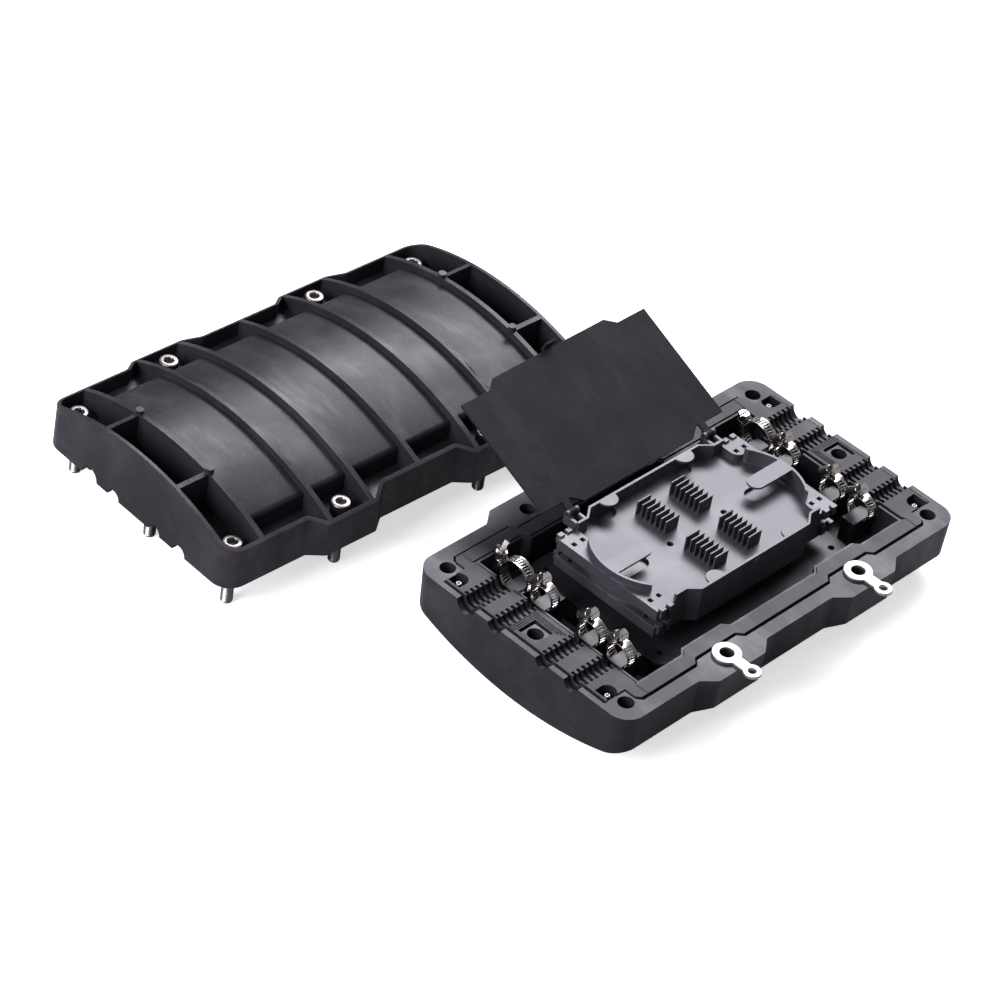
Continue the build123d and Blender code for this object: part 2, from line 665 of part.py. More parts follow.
def tray_outline(inset):
    """The tray in plan: a wide middle between narrower corner parts."""
    a = TRAY_HALF_LENGTH - inset
    c = TRAY_CORNER_HALF_WIDTH - inset
    m = TRAY_MIDDLE_HALF_WIDTH - inset
    x1 = TRAY_MIDDLE_HALF_LENGTH
    x2 = TRAY_MIDDLE_HALF_LENGTH + TRAY_CHAMFER
    quarter = [(a, c), (x2, c), (x1, m)]
    left = [(-x, y) for x, y in quarter[::-1]]
    upper = quarter + left
    lower = [(x, -y) for x, y in upper[::-1]]
    return make_face(Polyline(*(upper + lower), close=True))


def splice_tray(z0, top_tray):
    """One splice tray with its turn walls, tongues, tabs, corner decks, clips and combs."""
    floor_z = z0 + TRAY_FLOOR
    rim = z0 + TRAY_HEIGHT
    tray = extrude(Pos(0, 0, z0) * tray_outline(0), amount=TRAY_HEIGHT)
    tray -= extrude(Pos(0, 0, floor_z) * tray_outline(TRAY_WALL), amount=TRAY_HEIGHT)
    for end in (-1, 1):
        tray = turned_end(tray, end, z0)
        for sign in (-1, 1):
            tray += corner_clips(end, sign, z0)
            tray -= deck_holes(end, sign, z0)

    # Round tabs that lean in from the long walls, each over a hole in the floor
    inside = extrude(Pos(0, 0, z0 - 1) * tray_outline(TRAY_WALL), amount=TRAY_HEIGHT)
    under_rim = extrude(Pos(0, 0, z0) * tray_outline(TRAY_WALL / 2), amount=TRAY_HEIGHT)
    for x in (-TAB_X, TAB_X):
        for sign in (-1, 1):
            y = sign * (TRAY_MIDDLE_HALF_WIDTH - TRAY_WALL)
            tray += rod(x, y, rim - TONGUE_THICKNESS, rim, 2 * TAB_RADIUS) & under_rim
            tray -= rod(x, y, z0 - 1, floor_z + 1, 2 * TAB_RADIUS) & inside

    for x in (-COMB_X, COMB_X):
        for y in (-COMB_Y, COMB_Y):
            tray += splice_comb(x, y, floor_z)
    for x in (-FLOOR_HOLE_X, FLOOR_HOLE_X):
        tray -= rod(x, 0, z0 - 1, floor_z + 1, FLOOR_HOLE_DIAMETER)

    if top_tray:
        tray += hinge_ears(rim)
        length, reach, height = KNOB
        knob_y = -TRAY_MIDDLE_HALF_WIDTH
        knob_z = rim - KNOB_DROP
        tray += block(-length / 2, length / 2, knob_y - reach, knob_y + reach, knob_z, knob_z + height)
    return Pos(TRAY_CENTRE_X, 0, 0) * tray


def turned_end(tray, end, z0):
    """One short end of a tray: open over the corner decks, with the turn wall and its tongue."""
    floor_z = z0 + TRAY_FLOOR
    rim = z0 + TRAY_HEIGHT
    deck = floor_z + DECK_HEIGHT
    edge = end * TRAY_HALF_LENGTH
    corner = TRAY_CORNER_HALF_WIDTH
    centre = end * (TRAY_HALF_LENGTH - TURN_RADIUS)
    reach = sqrt(TURN_RADIUS**2 - TURN_HALF_CHORD**2)
    disc = rod(centre, 0, floor_z, rim + 1, 2 * TURN_RADIUS)
    past = end * (TRAY_HALF_LENGTH + 1)

    x0, x1 = sorted((centre + end * reach, past))
    tray -= block(x0, x1, -corner - 1, corner + 1, floor_z, rim + 1)
    x0, x1 = sorted((centre + end * reach, edge))
    decks = block(x0, x1, -corner, corner, z0, deck) - disc
    start, past = sorted((edge - end * DECK_LENGTH, past))
    x0, x1 = sorted((edge - end * DECK_LENGTH, edge))
    for sign in (-1, 1):
        y0, y1 = sorted((sign * TURN_HALF_CHORD, sign * (corner + 1)))
        tray -= block(start, past, y0, y1, floor_z, rim + 1)
        y0, y1 = sorted((sign * TURN_HALF_CHORD, sign * corner))
        platform = block(x0, x1, y0, y1, z0, deck)
        inner = [
            e for e in platform.edges().filter_by(Axis.Z)
            if end * e.center().X < TRAY_HALF_LENGTH - DECK_LENGTH / 2 and sign * e.center().Y < corner - 1
        ]
        decks += fillet(inner, DECK_CORNER)
    tray += decks

    wall = rod(centre, 0, z0, rim, 2 * TURN_RADIUS) - rod(centre, 0, z0 - 1, rim + 1, 2 * (TURN_RADIUS - TRAY_WALL))
    x0, x1 = sorted((centre + end * reach, end * (TRAY_HALF_LENGTH + 1)))
    tray += wall & block(x0, x1, -TURN_HALF_CHORD, TURN_HALF_CHORD, z0, rim)

    # The flat tongue over the turn, with the slot in the floor beneath it
    tip = edge - end * TONGUE_LENGTH
    root = edge - end * TRAY_WALL / 2
    half = TONGUE_WIDTH / 2
    x0, x1 = sorted((tip, root))
    tongue = block(x0, x1, -half, half, rim - TONGUE_THICKNESS, rim)
    tongue += rod(tip, 0, rim - TONGUE_THICKNESS, rim, TONGUE_WIDTH)
    tray += tongue & rod(centre, 0, z0, rim, 2 * TURN_RADIUS)
    x0, x1 = sorted((tip, edge - end * TONGUE_SLOT_END))
    tray -= block(x0, x1, -half, half, z0 - 1, floor_z + 1)
    tray -= rod(tip, 0, z0 - 1, floor_z + 1, TONGUE_WIDTH)
    return tray


def corner_clips(end, sign, z0):
    """The small clips on the long wall of one tray corner that lock the stacked trays."""
    deck = z0 + TRAY_FLOOR + DECK_HEIGHT
    y0, y1 = sorted((sign * (TRAY_CORNER_HALF_WIDTH - 1), sign * (TRAY_CORNER_HALF_WIDTH + CLIP_REACH)))
    clips = []
    for inset in CLIP_INSETS:
        x = end * (TRAY_HALF_LENGTH - inset)
        half = CLIP_LENGTH / 2
        clips.append(block(x - half, x + half, y0, y1, deck - CLIP_DROP, deck + CLIP_RISE))
    return clips


def deck_holes(end, sign, z0):
    """The two square holes of one corner deck."""
    deck = z0 + TRAY_FLOOR + DECK_HEIGHT
    y = sign * (TRAY_CORNER_HALF_WIDTH - DECK_HOLE_Y_INSET)
    half = DECK_HOLE / 2
    holes = []
    for inset in DECK_HOLE_INSETS:
        x = end * (TRAY_HALF_LENGTH - inset)
        holes.append(block(x - half, x + half, y - half, y + half, deck - DECK_HOLE, deck + 1))
    return holes


def splice_comb(x, y, floor_z):
    """One row of upright fins that hold the splice protectors."""
    fins = []
    half = FIN_LENGTH / 2
    thick = FIN_THICKNESS / 2
    for fin in range(FIN_COUNT):
        fin_y = y + (fin - (FIN_COUNT - 1) / 2) * FIN_PITCH
        fins.append(block(x - half, x + half, fin_y - thick, fin_y + thick, floor_z, floor_z + FIN_HEIGHT))
    return fins


def hinge_height(rim):
    """The height of the lid's hinge line over the rim of the top tray."""
    return rim + LID_LIFT + LID_THICKNESS / 2


def hinge_ears(rim):
    """The two pairs of ears that carry the lid's hinge pins."""
    z = hinge_height(rim)
    ears = []
    for x in (-HINGE_X, HINGE_X):
        for sign in (-1, 1):
            near = KNUCKLE_WIDTH / 2 + HINGE_GAP
            x0, x1 = sorted((x + sign * near, x + sign * (near + EAR_THICKNESS)))
            far_y = HINGE_Y + KNUCKLE_RADIUS
            ear = block(x0, x1, TRAY_CORNER_HALF_WIDTH - 0.5, far_y, rim - EAR_DROP, z - EAR_TOP_GAP)
            ear += rod_along_x(x0, x1, HINGE_Y, z, KNUCKLE_RADIUS)
            ear += block(x0, x1, HINGE_Y - KNUCKLE_RADIUS, far_y, rim - EAR_ARM_DROP, z)
            ear -= rod_along_x(x0 - 1, x1 + 1, HINGE_Y, z, PIN_DIAMETER / 2 + PIN_FIT)
            ears.append(ear)
    return ears


def tray_lid(rim):
    """The lid in its open place, made as it lies closed: knuckles, pins and latch."""
    z = hinge_height(rim)
    z0 = z - LID_THICKNESS / 2
    z1 = z0 + LID_THICKNESS
    lid = extrude(Pos(0, 0, z0) * tray_outline(0), amount=LID_THICKNESS)
    for x in (-HINGE_X, HINGE_X):
        half = KNUCKLE_WIDTH / 2
        lid += block(x - half, x + half, TRAY_CORNER_HALF_WIDTH - 1, HINGE_Y, z0, z1)
        lid += rod_along_x(x - half, x + half, HINGE_Y, z, KNUCKLE_RADIUS)
        pin = half + HINGE_GAP + EAR_THICKNESS
        lid += rod_along_x(x - pin, x + pin, HINGE_Y, z, PIN_DIAMETER / 2)
    half = LATCH_WIDTH / 2
    latch_y = -TRAY_MIDDLE_HALF_WIDTH - KNOB[1] - HINGE_GAP
    lid += block(-half, half, latch_y - LATCH_THICKNESS, 1 - TRAY_MIDDLE_HALF_WIDTH, z0, z1)
    lid += block(-half, half, latch_y - LATCH_THICKNESS, latch_y, z0 - LATCH_DROP, z1)
    lid = Pos(TRAY_CENTRE_X, 0, 0) * lid
    axis = Axis((0, HINGE_Y, z), (1, 0, 0))
    return lid.rotate(axis, -LID_OPEN_ANGLE)


def suspension_lug(x):
    """A flat steel lug: a large eye on the side bolt hole and a small outer hole."""
    z0 = BASE_JOINT_Z
    y = -SIDE_BOLT_Y
    end_y = y - LUG_SPACING
    lug = rod(x, y, z0, z0 + LUG_THICKNESS, 2 * LUG_EYE_RADIUS)
    lug += rod(x, end_y, z0, z0 + LUG_THICKNESS, 2 * LUG_END_RADIUS)
    lug += block(x - LUG_NECK / 2, x + LUG_NECK / 2, end_y, y, z0, z0 + LUG_THICKNESS)
    lug -= rod(x, y, z0 - 1, z0 + LUG_THICKNESS + 1, BOLT_DIAMETER + 2 * BOLT_CLEARANCE)
    lug -= rod(x, end_y, z0 - 1, z0 + LUG_THICKNESS + 1, LUG_HOLE_DIAMETER)
    return lug


def cover_bolt(x, y):
    """A socket-head cap screw through the cover, its tip on the table."""
    shank = rod(x, y, 0, BOLT_LENGTH, BOLT_DIAMETER)
    shank = chamfer(shank.edges().group_by(Axis.Z)[0], BOLT_CHAMFER)
    head = rod(x, y, BOLT_LENGTH, BOLT_LENGTH + BOLT_HEAD_HEIGHT, BOLT_HEAD_DIAMETER)
    head = chamfer(head.edges().group_by(Axis.Z)[-1], BOLT_CHAMFER)
    top = BOLT_LENGTH + BOLT_HEAD_HEIGHT
    socket = extrude(RegularPolygon(BOLT_SOCKET / 2, 6, major_radius=False), amount=BOLT_SOCKET_DEPTH + 1)
    return shank + head - Pos(x, y, top - BOLT_SOCKET_DEPTH) * socket


def on_cover(shape):
    """Moves a shape from the cover's own frame to where the cover stands."""
    return Pos(COVER_X, COVER_Y, 0) * Rot(0, 0, COVER_TURN) * shape


def build_parts():
    """Every piece by name, in place."""
    parts = {}
    parts["base_shell"] = base_shell()
    parts["cover_shell"] = on_cover(Pos(0, 0, COVER_JOINT_Z) * cover_shell())
    for side, end in ENDS:
        parts[f"{side}_end_seal"] = Pos(0, 0, BASE_JOINT_Z) * end_seal(end, True)
        upper = mirror(end_seal(end, False), about=Plane.XY)
        parts[f"cover_{side}_seal"] = on_cover(Pos(0, 0, COVER_JOINT_Z) * upper)
        parts[f"{side}_cable_bracket"] = cable_bracket(end)
    parts["near_side_gasket"] = Pos(0, 0, BASE_JOINT_Z) * side_gasket(-1)
    parts["far_side_gasket"] = Pos(0, 0, BASE_JOINT_Z) * side_gasket(1)
    parts["threaded_inserts"] = threaded_inserts()
    parts["seal_screws"] = seal_screws()
    number = 0
    for side, end in ENDS:
        for index in range(len(PORT_Y)):
            number += 1
            parts[f"clamp_band_{number}"] = clamp_band(end, index)
            parts[f"clamp_housing_{number}"] = clamp_housing(end, index)
            parts[f"clamp_screw_{number}"] = clamp_screw(end, index)
    parts["tray_bracket"] = tray_bracket()
    parts["lower_tray"] = splice_tray(TRAY_BOTTOM_Z, False)
    parts["upper_tray"] = splice_tray(TRAY_BOTTOM_Z + TRAY_PITCH, True)
    parts["tray_lid"] = tray_lid(TRAY_BOTTOM_Z + TRAY_PITCH + TRAY_HEIGHT)
    parts["left_lug"] = suspension_lug(-BOSS_X)
    parts["right_lug"] = suspension_lug(BOSS_X)
    for number, (x, y) in enumerate(BOLT_SPOTS, start=1):
        parts[f"cover_bolt_{number}"] = on_cover(cover_bolt(x, y))
    return parts


def main():
    os.makedirs("parts", exist_ok=True)
    for name, shape in build_parts().items():
        export_step(shape, f"parts/{name}.step")


main()
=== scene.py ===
import json
import math

import bmesh
import bpy
import numpy as np
from bpy.props import FloatProperty, FloatVectorProperty, IntProperty, PointerProperty
from mathutils import Euler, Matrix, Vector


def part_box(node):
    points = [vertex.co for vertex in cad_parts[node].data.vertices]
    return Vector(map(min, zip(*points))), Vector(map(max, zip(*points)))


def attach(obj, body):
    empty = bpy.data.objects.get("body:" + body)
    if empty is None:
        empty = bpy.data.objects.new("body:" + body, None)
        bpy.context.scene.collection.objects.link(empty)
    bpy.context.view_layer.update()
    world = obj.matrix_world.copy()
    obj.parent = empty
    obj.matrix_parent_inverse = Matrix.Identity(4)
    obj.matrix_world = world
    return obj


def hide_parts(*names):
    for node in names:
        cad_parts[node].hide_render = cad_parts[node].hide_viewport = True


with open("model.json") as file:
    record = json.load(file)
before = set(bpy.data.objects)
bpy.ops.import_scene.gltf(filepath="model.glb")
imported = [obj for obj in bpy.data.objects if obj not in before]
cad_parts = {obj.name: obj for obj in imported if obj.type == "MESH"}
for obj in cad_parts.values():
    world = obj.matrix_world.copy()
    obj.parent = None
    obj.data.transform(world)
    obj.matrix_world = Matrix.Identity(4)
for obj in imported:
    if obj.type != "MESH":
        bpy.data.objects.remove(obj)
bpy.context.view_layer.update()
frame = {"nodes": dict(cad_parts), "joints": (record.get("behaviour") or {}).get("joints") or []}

bl_info = {
    "name": "Fibre Splice Closure",
    "version": (1, 0, 0),
    "blender": (4, 5, 0),
    "location": "3D View > Sidebar > Closure",
    "description": "Finishes an opened horizontal fibre splice closure and sets up its studio",
    "category": "Object",
}

CLAMPS = range(1, 9)
COVER_BOLTS = range(1, 11)
WHOLE_TURN = 2.0 * math.pi

# The view of the photograph, in the closure's own frame
CAMERA_PLACE = (-1.487995, -1.035125, 1.546091)
CAMERA_TURN = (50.0777, -7.1750, -45.3497)
CAMERA_LENS = 136.354
SENSOR_WIDTH = 36.0

# The lamps' places, widths and heights; all of them aim at the middle of the closure
MIDDLE = (-0.05, 0.1, 0.03)
LAMPS = {
    "key": ((1.38, 0.86, 1.52), (1.9, 0.72)),
    "top": ((0.1, 0.3, 2.2), (1.6, 1.6)),
    "fill": ((-1.8, 0.4, 1.0), (1.2, 1.2)),
    "glint": ((0.95, -1.05, 0.72), (0.45, 0.45)),
}

# The pale tone of worn edges and old scuffs on black plastic and on the greyer trays, and of stains on metal
BLOOM = (0.11, 0.11, 0.12, 1.0)
TRAY_BLOOM = (0.16, 0.16, 0.18, 1.0)
STAIN = (0.22, 0.20, 0.17, 1.0)

# The plastic and rubber finishes: colour names a property of ClosureColours, grain is a depth in metres and
# polish is how strongly the mottled places shine
PLASTICS = {
    "shell_black": dict(colour="shell", bloom=BLOOM, mottle=0.50, dust=0.20,
                        roughness=0.33, grain=0.00003, specular=0.154, polish=0.836, wear=0.40),
    "seal_rubber": dict(colour="rubber", bloom=BLOOM, mottle=0.25, dust=0.25,
                        roughness=0.42, grain=0.00003, specular=0.182, polish=0.988, wear=0.45),
    "tray_plastic": dict(colour="tray", bloom=TRAY_BLOOM, mottle=0.15, dust=0.10,
                         roughness=0.40, grain=0.00001, specular=0.63, polish=3.42, wear=0.25),
    "lid_plastic": dict(colour="lid", bloom=BLOOM, mottle=0.22, dust=0.12,
                        roughness=0.46, grain=0.00004, specular=0.084, polish=0.456, wear=0.20),
    "bracket_plastic": dict(colour="bracket", bloom=BLOOM, mottle=0.20, dust=0.10,
                            roughness=0.42, grain=0.00002, specular=0.385, polish=2.09, wear=0.20),
}

# The metal finishes; lines are how often the drawn marks change along X, Y and Z in a metre
METALS = {
    "insert_brass": dict(colour="brass", lines=(900.0, 900.0, 6000.0), amount=0.50, roughness=0.32),
    "lug_steel": dict(colour="lug", lines=(6000.0, 500.0, 900.0), amount=0.25, roughness=0.42),
    "bolt_steel": dict(colour="bolt", lines=(900.0, 900.0, 6000.0), amount=0.35, roughness=0.32),
    "screw_steel": dict(colour="screw", lines=(900.0, 900.0, 900.0), amount=0.30, roughness=0.22),
    "clamp_steel": dict(colour="clamp", lines=(6000.0, 700.0, 700.0), amount=0.45, roughness=0.16),
}


class ClosureSizes(bpy.types.PropertyGroup):
    """Sizes of the details that are added to the pieces."""

    shell_edge: FloatProperty(
        name="Shell Edge", description="Rounding of the moulded shells' edges",
        default=0.0006, min=0.0, unit="LENGTH", subtype="DISTANCE")
    seal_edge: FloatProperty(
        name="Seal Edge", description="Rounding of the rubber seals' edges",
        default=0.0003, min=0.0, unit="LENGTH", subtype="DISTANCE")
    lit_edge: FloatProperty(
        name="Lit Edge", description="Rounding that the light shows on all sharp edges of plastic",
        default=0.0003, min=0.0, unit="LENGTH", subtype="DISTANCE")
    lug_edge: FloatProperty(
        name="Lug Edge", description="Rounding of the lugs' edges",
        default=0.0004, min=0.0, unit="LENGTH", subtype="DISTANCE")
    seal_screw_edge: FloatProperty(
        name="Seal Screw Edge", description="Rounding of the edges of the seals' screws",
        default=0.00015, min=0.0, unit="LENGTH", subtype="DISTANCE")
    worm_screw_edge: FloatProperty(
        name="Worm Screw Edge", description="Rounding of the edges of the clamps' worm screws",
        default=0.0004, min=0.0, unit="LENGTH", subtype="DISTANCE")
    thread_pitch: FloatProperty(
        name="Thread Pitch", description="Pitch of the thread of the cover bolts and their inserts",
        default=0.00125, min=0.0001, unit="LENGTH", subtype="DISTANCE")
    thread_depth: FloatProperty(
        name="Thread Depth", description="Depth of the cover bolts' thread",
        default=0.00065, min=0.0, unit="LENGTH", subtype="DISTANCE")
    thread_length: FloatProperty(
        name="Thread Length", description="Threaded length of the cover bolts",
        default=0.028, min=0.0, unit="LENGTH", subtype="DISTANCE")
    shank_radius: FloatProperty(
        name="Shank Radius", description="Radius of the cover bolts' shanks",
        default=0.004, min=0.001, unit="LENGTH", subtype="DISTANCE")
    head_height: FloatProperty(
        name="Head Height", description="Height of the cover bolts' heads",
        default=0.008, min=0.001, unit="LENGTH", subtype="DISTANCE")
    socket_flats: FloatProperty(
        name="Socket Flats", description="Width across the flats of the bolts' sockets",
        default=0.006, min=0.001, unit="LENGTH", subtype="DISTANCE")
    socket_depth: FloatProperty(
        name="Socket Depth", description="Depth of the bolts' sockets",
        default=0.004, min=0.001, unit="LENGTH", subtype="DISTANCE")
    knurl_count: IntProperty(
        name="Knurls", description="Grooves round the head of a cover bolt",
        default=36, min=3)
    knurl_depth: FloatProperty(
        name="Knurl Depth", description="Depth of the grooves round a bolt's head",
        default=0.00025, min=0.0, unit="LENGTH", subtype="DISTANCE")
    band_thickness: FloatProperty(
        name="Band Thickness", description="Thickness of the clamps' steel strip, its rolled edges included",
        default=0.0008, min=0.0001, unit="LENGTH", subtype="DISTANCE")
    housing_length: FloatProperty(
        name="Housing Length", description="Length of a clamp's housing along its worm",
        default=0.009, min=0.001, unit="LENGTH", subtype="DISTANCE")
    housing_width: FloatProperty(
        name="Housing Width", description="Width of a clamp's housing across its band",
        default=0.0098, min=0.001, unit="LENGTH", subtype="DISTANCE")
    housing_sheet: FloatProperty(
        name="Housing Sheet", description="Thickness of the steel sheet that a housing is pressed from",
        default=0.0005, min=0.0001, unit="LENGTH", subtype="DISTANCE")
    barrel_radius: FloatProperty(
        name="Barrel Radius", description="Radius of a housing's sheet round the worm",
        default=0.0031, min=0.001, unit="LENGTH", subtype="DISTANCE")


class ClosureColours(bpy.types.PropertyGroup):
    """Base colours of the finishes."""

    shell: FloatVectorProperty(
        name="Shell", description="Moulded black of the two shells",
        default=(0.019, 0.0165, 0.0205, 1.0), size=4, min=0.0, max=1.0, subtype="COLOR")
    rubber: FloatVectorProperty(
        name="Rubber", description="Black rubber of the seals",
        default=(0.018, 0.0165, 0.020, 1.0), size=4, min=0.0, max=1.0, subtype="COLOR")
    tray: FloatVectorProperty(
        name="Tray", description="Grey-black plastic of the trays",
        default=(0.034, 0.032, 0.039, 1.0), size=4, min=0.0, max=1.0, subtype="COLOR")
    lid: FloatVectorProperty(
        name="Lid", description="Black plastic of the tray's lid",
        default=(0.015, 0.0135, 0.017, 1.0), size=4, min=0.0, max=1.0, subtype="COLOR")
    bracket: FloatVectorProperty(
        name="Bracket", description="Black plastic of the brackets",
        default=(0.014, 0.013, 0.016, 1.0), size=4, min=0.0, max=1.0, subtype="COLOR")
    lug: FloatVectorProperty(
        name="Lug", description="Flat steel of the two lugs",
        default=(0.41, 0.40, 0.385, 1.0), size=4, min=0.0, max=1.0, subtype="COLOR")
    bolt: FloatVectorProperty(
        name="Bolt", description="Plain steel of the cover's bolts",
        default=(0.27, 0.26, 0.25, 1.0), size=4, min=0.0, max=1.0, subtype="COLOR")
    clamp: FloatVectorProperty(
        name="Clamp", description="Bright steel of the cable clamps and their worm screws",
        default=(0.40, 0.385, 0.36, 1.0), size=4, min=0.0, max=1.0, subtype="COLOR")
    screw: FloatVectorProperty(
        name="Screw", description="Dark steel of the seals' screws",
        default=(0.16, 0.15, 0.14, 1.0), size=4, min=0.0, max=1.0, subtype="COLOR")
    brass: FloatVectorProperty(
        name="Brass", description="Brass of the threaded inserts",
        default=(0.52, 0.42, 0.24, 1.0), size=4, min=0.0, max=1.0, subtype="COLOR")


class ClosureStage(bpy.types.PropertyGroup):
    """Light levels of the studio."""

    surround: FloatProperty(
        name="Surround", description="Strength of the room as a light",
        default=0.24, min=0.0)
    mirrored: FloatProperty(
        name="Mirrored Room", description="Strength of the room in mirror reflections",
        default=0.25, min=0.0)
    floor_glow: FloatProperty(
        name="Floor Glow", description="How much the floor is lifted towards white for the camera",
        default=0.62, min=0.0)
    key: FloatProperty(
        name="Key", description="Power of the large soft box behind the closure",
        default=64.0, min=0.0, unit="POWER")
    top: FloatProperty(
        name="Top", description="Power of the soft box overhead",
        default=2.0, min=0.0, unit="POWER")
    fill: FloatProperty(
        name="Fill", description="Power of the soft box at the left",
        default=60.0, min=0.0, unit="POWER")
    glint: FloatProperty(
        name="Glint", description="Power of the small card that the clamps' screws mirror",
        default=0.5, min=0.0, unit="POWER")
    tint: FloatVectorProperty(
        name="Tint", description="Faintly violet white of the lamps and the room",
        default=(0.945, 0.92, 1.0), size=3, min=0.0, max=1.0, subtype="COLOR")


# Shader nodes

def put(tree, socket, value):
    """Puts a value on an input socket, or links another socket to it."""
    if isinstance(value, bpy.types.NodeSocket):
        tree.links.new(value, socket)
    else:
        socket.default_value = value


def add(tree, kind, settings=None, **values):
    """Adds a node to a tree, with settings of the node itself and values for the sockets of those names."""
    made = tree.nodes.new(kind)
    for key, value in (settings or {}).items():
        setattr(made, key, value)
    for key, value in values.items():
        put(tree, made.inputs[key.replace("_", " ")], value)
    return made


def mix_colour(tree, factor, first, second):
    """Mixes two colours by a factor and returns the resulting socket."""
    made = add(tree, "ShaderNodeMix", {"data_type": "RGBA"})
    for index, value in ((0, factor), (6, first), (7, second)):
        put(tree, made.inputs[index], value)
    return made.outputs[2]


def arithmetic(tree, operation, first, second=0.0, third=0.0, clamp=False):
    """One step of arithmetic on numbers or sockets."""
    made = add(tree, "ShaderNodeMath", {"operation": operation, "use_clamp": clamp})
    for socket, value in zip(made.inputs, (first, second, third)):
        put(tree, socket, value)
    return made.outputs[0]


def ramp(tree, factor, low, high):
    """Maps a value to 0 at the low end of a range and to 1 at its high end, and holds it beyond them."""
    made = add(tree, "ShaderNodeMapRange", {"clamp": True}, Value=factor, From_Min=low, From_Max=high)
    return made.outputs["Result"]


def noise(tree, place, scale, detail, roughness=0.5):
    """Noise of a scale at a place."""
    made = add(tree, "ShaderNodeTexNoise", Vector=place, Scale=scale, Detail=detail, Roughness=roughness)
    return made.outputs["Fac"]


def object_place(tree):
    """The place on the piece, in metres."""
    return tree.nodes.new("ShaderNodeTexCoord").outputs["Object"]


def new_group(name, inputs, outputs):
    """Starts a node group with named inputs (kind and default) and outputs."""
    tree = bpy.data.node_groups.new(name, "ShaderNodeTree")
    for label, kind, default in inputs:
        socket = tree.interface.new_socket(label, in_out="INPUT", socket_type=kind)
        socket.default_value = default
    for label, kind in outputs:
        tree.interface.new_socket(label, in_out="OUTPUT", socket_type=kind)
    return tree, tree.nodes.new("NodeGroupInput").outputs, tree.nodes.new("NodeGroupOutput").inputs


def use_group(tree, name, **values):
    """Places a node group in a material."""
    return add(tree, "ShaderNodeGroup", {"node_tree": bpy.data.node_groups[name]}, **values)


def moulded_skin_group():
    """The skin of a moulding: broad mottling, flow streaks, dust specks, a fine grain and rounded edges."""
    tree, given, out = new_group(
        "moulded_skin",
        [("Colour", "NodeSocketColor", (0.02, 0.02, 0.02, 1.0)),
         ("Bloom", "NodeSocketColor", BLOOM),
         ("Mottle", "NodeSocketFloat", 0.4),
         ("Dust", "NodeSocketFloat", 0.3),
         ("Roughness", "NodeSocketFloat", 0.42),
         ("Grain", "NodeSocketFloat", 0.00002),
         ("Rounding", "NodeSocketFloat", 0.0003)],
        [("Colour", "NodeSocketColor"), ("Roughness", "NodeSocketFloat"), ("Mottle", "NodeSocketFloat"),
         ("Normal", "NodeSocketVector")],
    )
    mottle_pales = 0.16
    mottle_roughens = 0.16
    dust_roughens = 0.3
    speck_height = 1.4

    place = object_place(tree)
    flow = add(tree, "ShaderNodeMapping", Vector=place, Scale=(60.0, 14.0, 30.0), Rotation=(0.0, 0.0, 0.35))
    cloudy = noise(tree, place, scale=22.0, detail=6.0, roughness=0.55)
    streaky = noise(tree, flow.outputs[0], scale=1.0, detail=6.0, roughness=0.62)
    speck = noise(tree, place, scale=420.0, detail=2.0, roughness=0.7)
    fine = noise(tree, place, scale=1500.0, detail=2.0, roughness=0.6)
    blotches = arithmetic(
        tree, "ADD", ramp(tree, cloudy, low=0.46, high=0.74), ramp(tree, streaky, low=0.52, high=0.78))
    mottle = arithmetic(tree, "MULTIPLY", blotches, given["Mottle"], clamp=True)
    dust = arithmetic(tree, "MULTIPLY", ramp(tree, speck, low=0.64, high=0.74), given["Dust"])

    pale = arithmetic(tree, "MULTIPLY_ADD", mottle, mottle_pales, dust, clamp=True)
    put(tree, out["Colour"], mix_colour(tree, pale, given["Colour"], given["Bloom"]))
    rough = arithmetic(tree, "MULTIPLY_ADD", mottle, mottle_roughens, given["Roughness"])
    put(tree, out["Roughness"], arithmetic(tree, "MULTIPLY_ADD", dust, dust_roughens, rough, clamp=True))
    put(tree, out["Mottle"], mottle)
    height = arithmetic(tree, "MULTIPLY_ADD", speck, speck_height, fine)
    rounded = add(tree, "ShaderNodeBevel", {"samples": 4}, Radius=given["Rounding"])
    bump = add(tree, "ShaderNodeBump", Strength=1.0, Distance=given["Grain"], Height=height,
               Normal=rounded.outputs[0])
    put(tree, out["Normal"], bump.outputs["Normal"])


def edge_wear_group():
    """A mask of sharp edges, where the rounded normal leaves the plain one, broken up by noise."""
    tree, given, out = new_group(
        "edge_wear",
        [("Width", "NodeSocketFloat", 0.0006), ("Amount", "NodeSocketFloat", 0.5)],
        [("Mask", "NodeSocketFloat")],
    )
    rounded = add(tree, "ShaderNodeBevel", {"samples": 4}, Radius=given["Width"])
    facing = add(tree, "ShaderNodeVectorMath", {"operation": "DOT_PRODUCT"})
    put(tree, facing.inputs[0], rounded.outputs[0])
    put(tree, facing.inputs[1], tree.nodes.new("ShaderNodeNewGeometry").outputs["Normal"])
    edge = ramp(tree, facing.outputs["Value"], low=0.99, high=0.80)
    worn = ramp(tree, noise(tree, object_place(tree), scale=180.0, detail=4.0), low=0.35, high=0.62)
    both = arithmetic(tree, "MULTIPLY", edge, worn)
    put(tree, out["Mask"], arithmetic(tree, "MULTIPLY", both, given["Amount"], clamp=True))


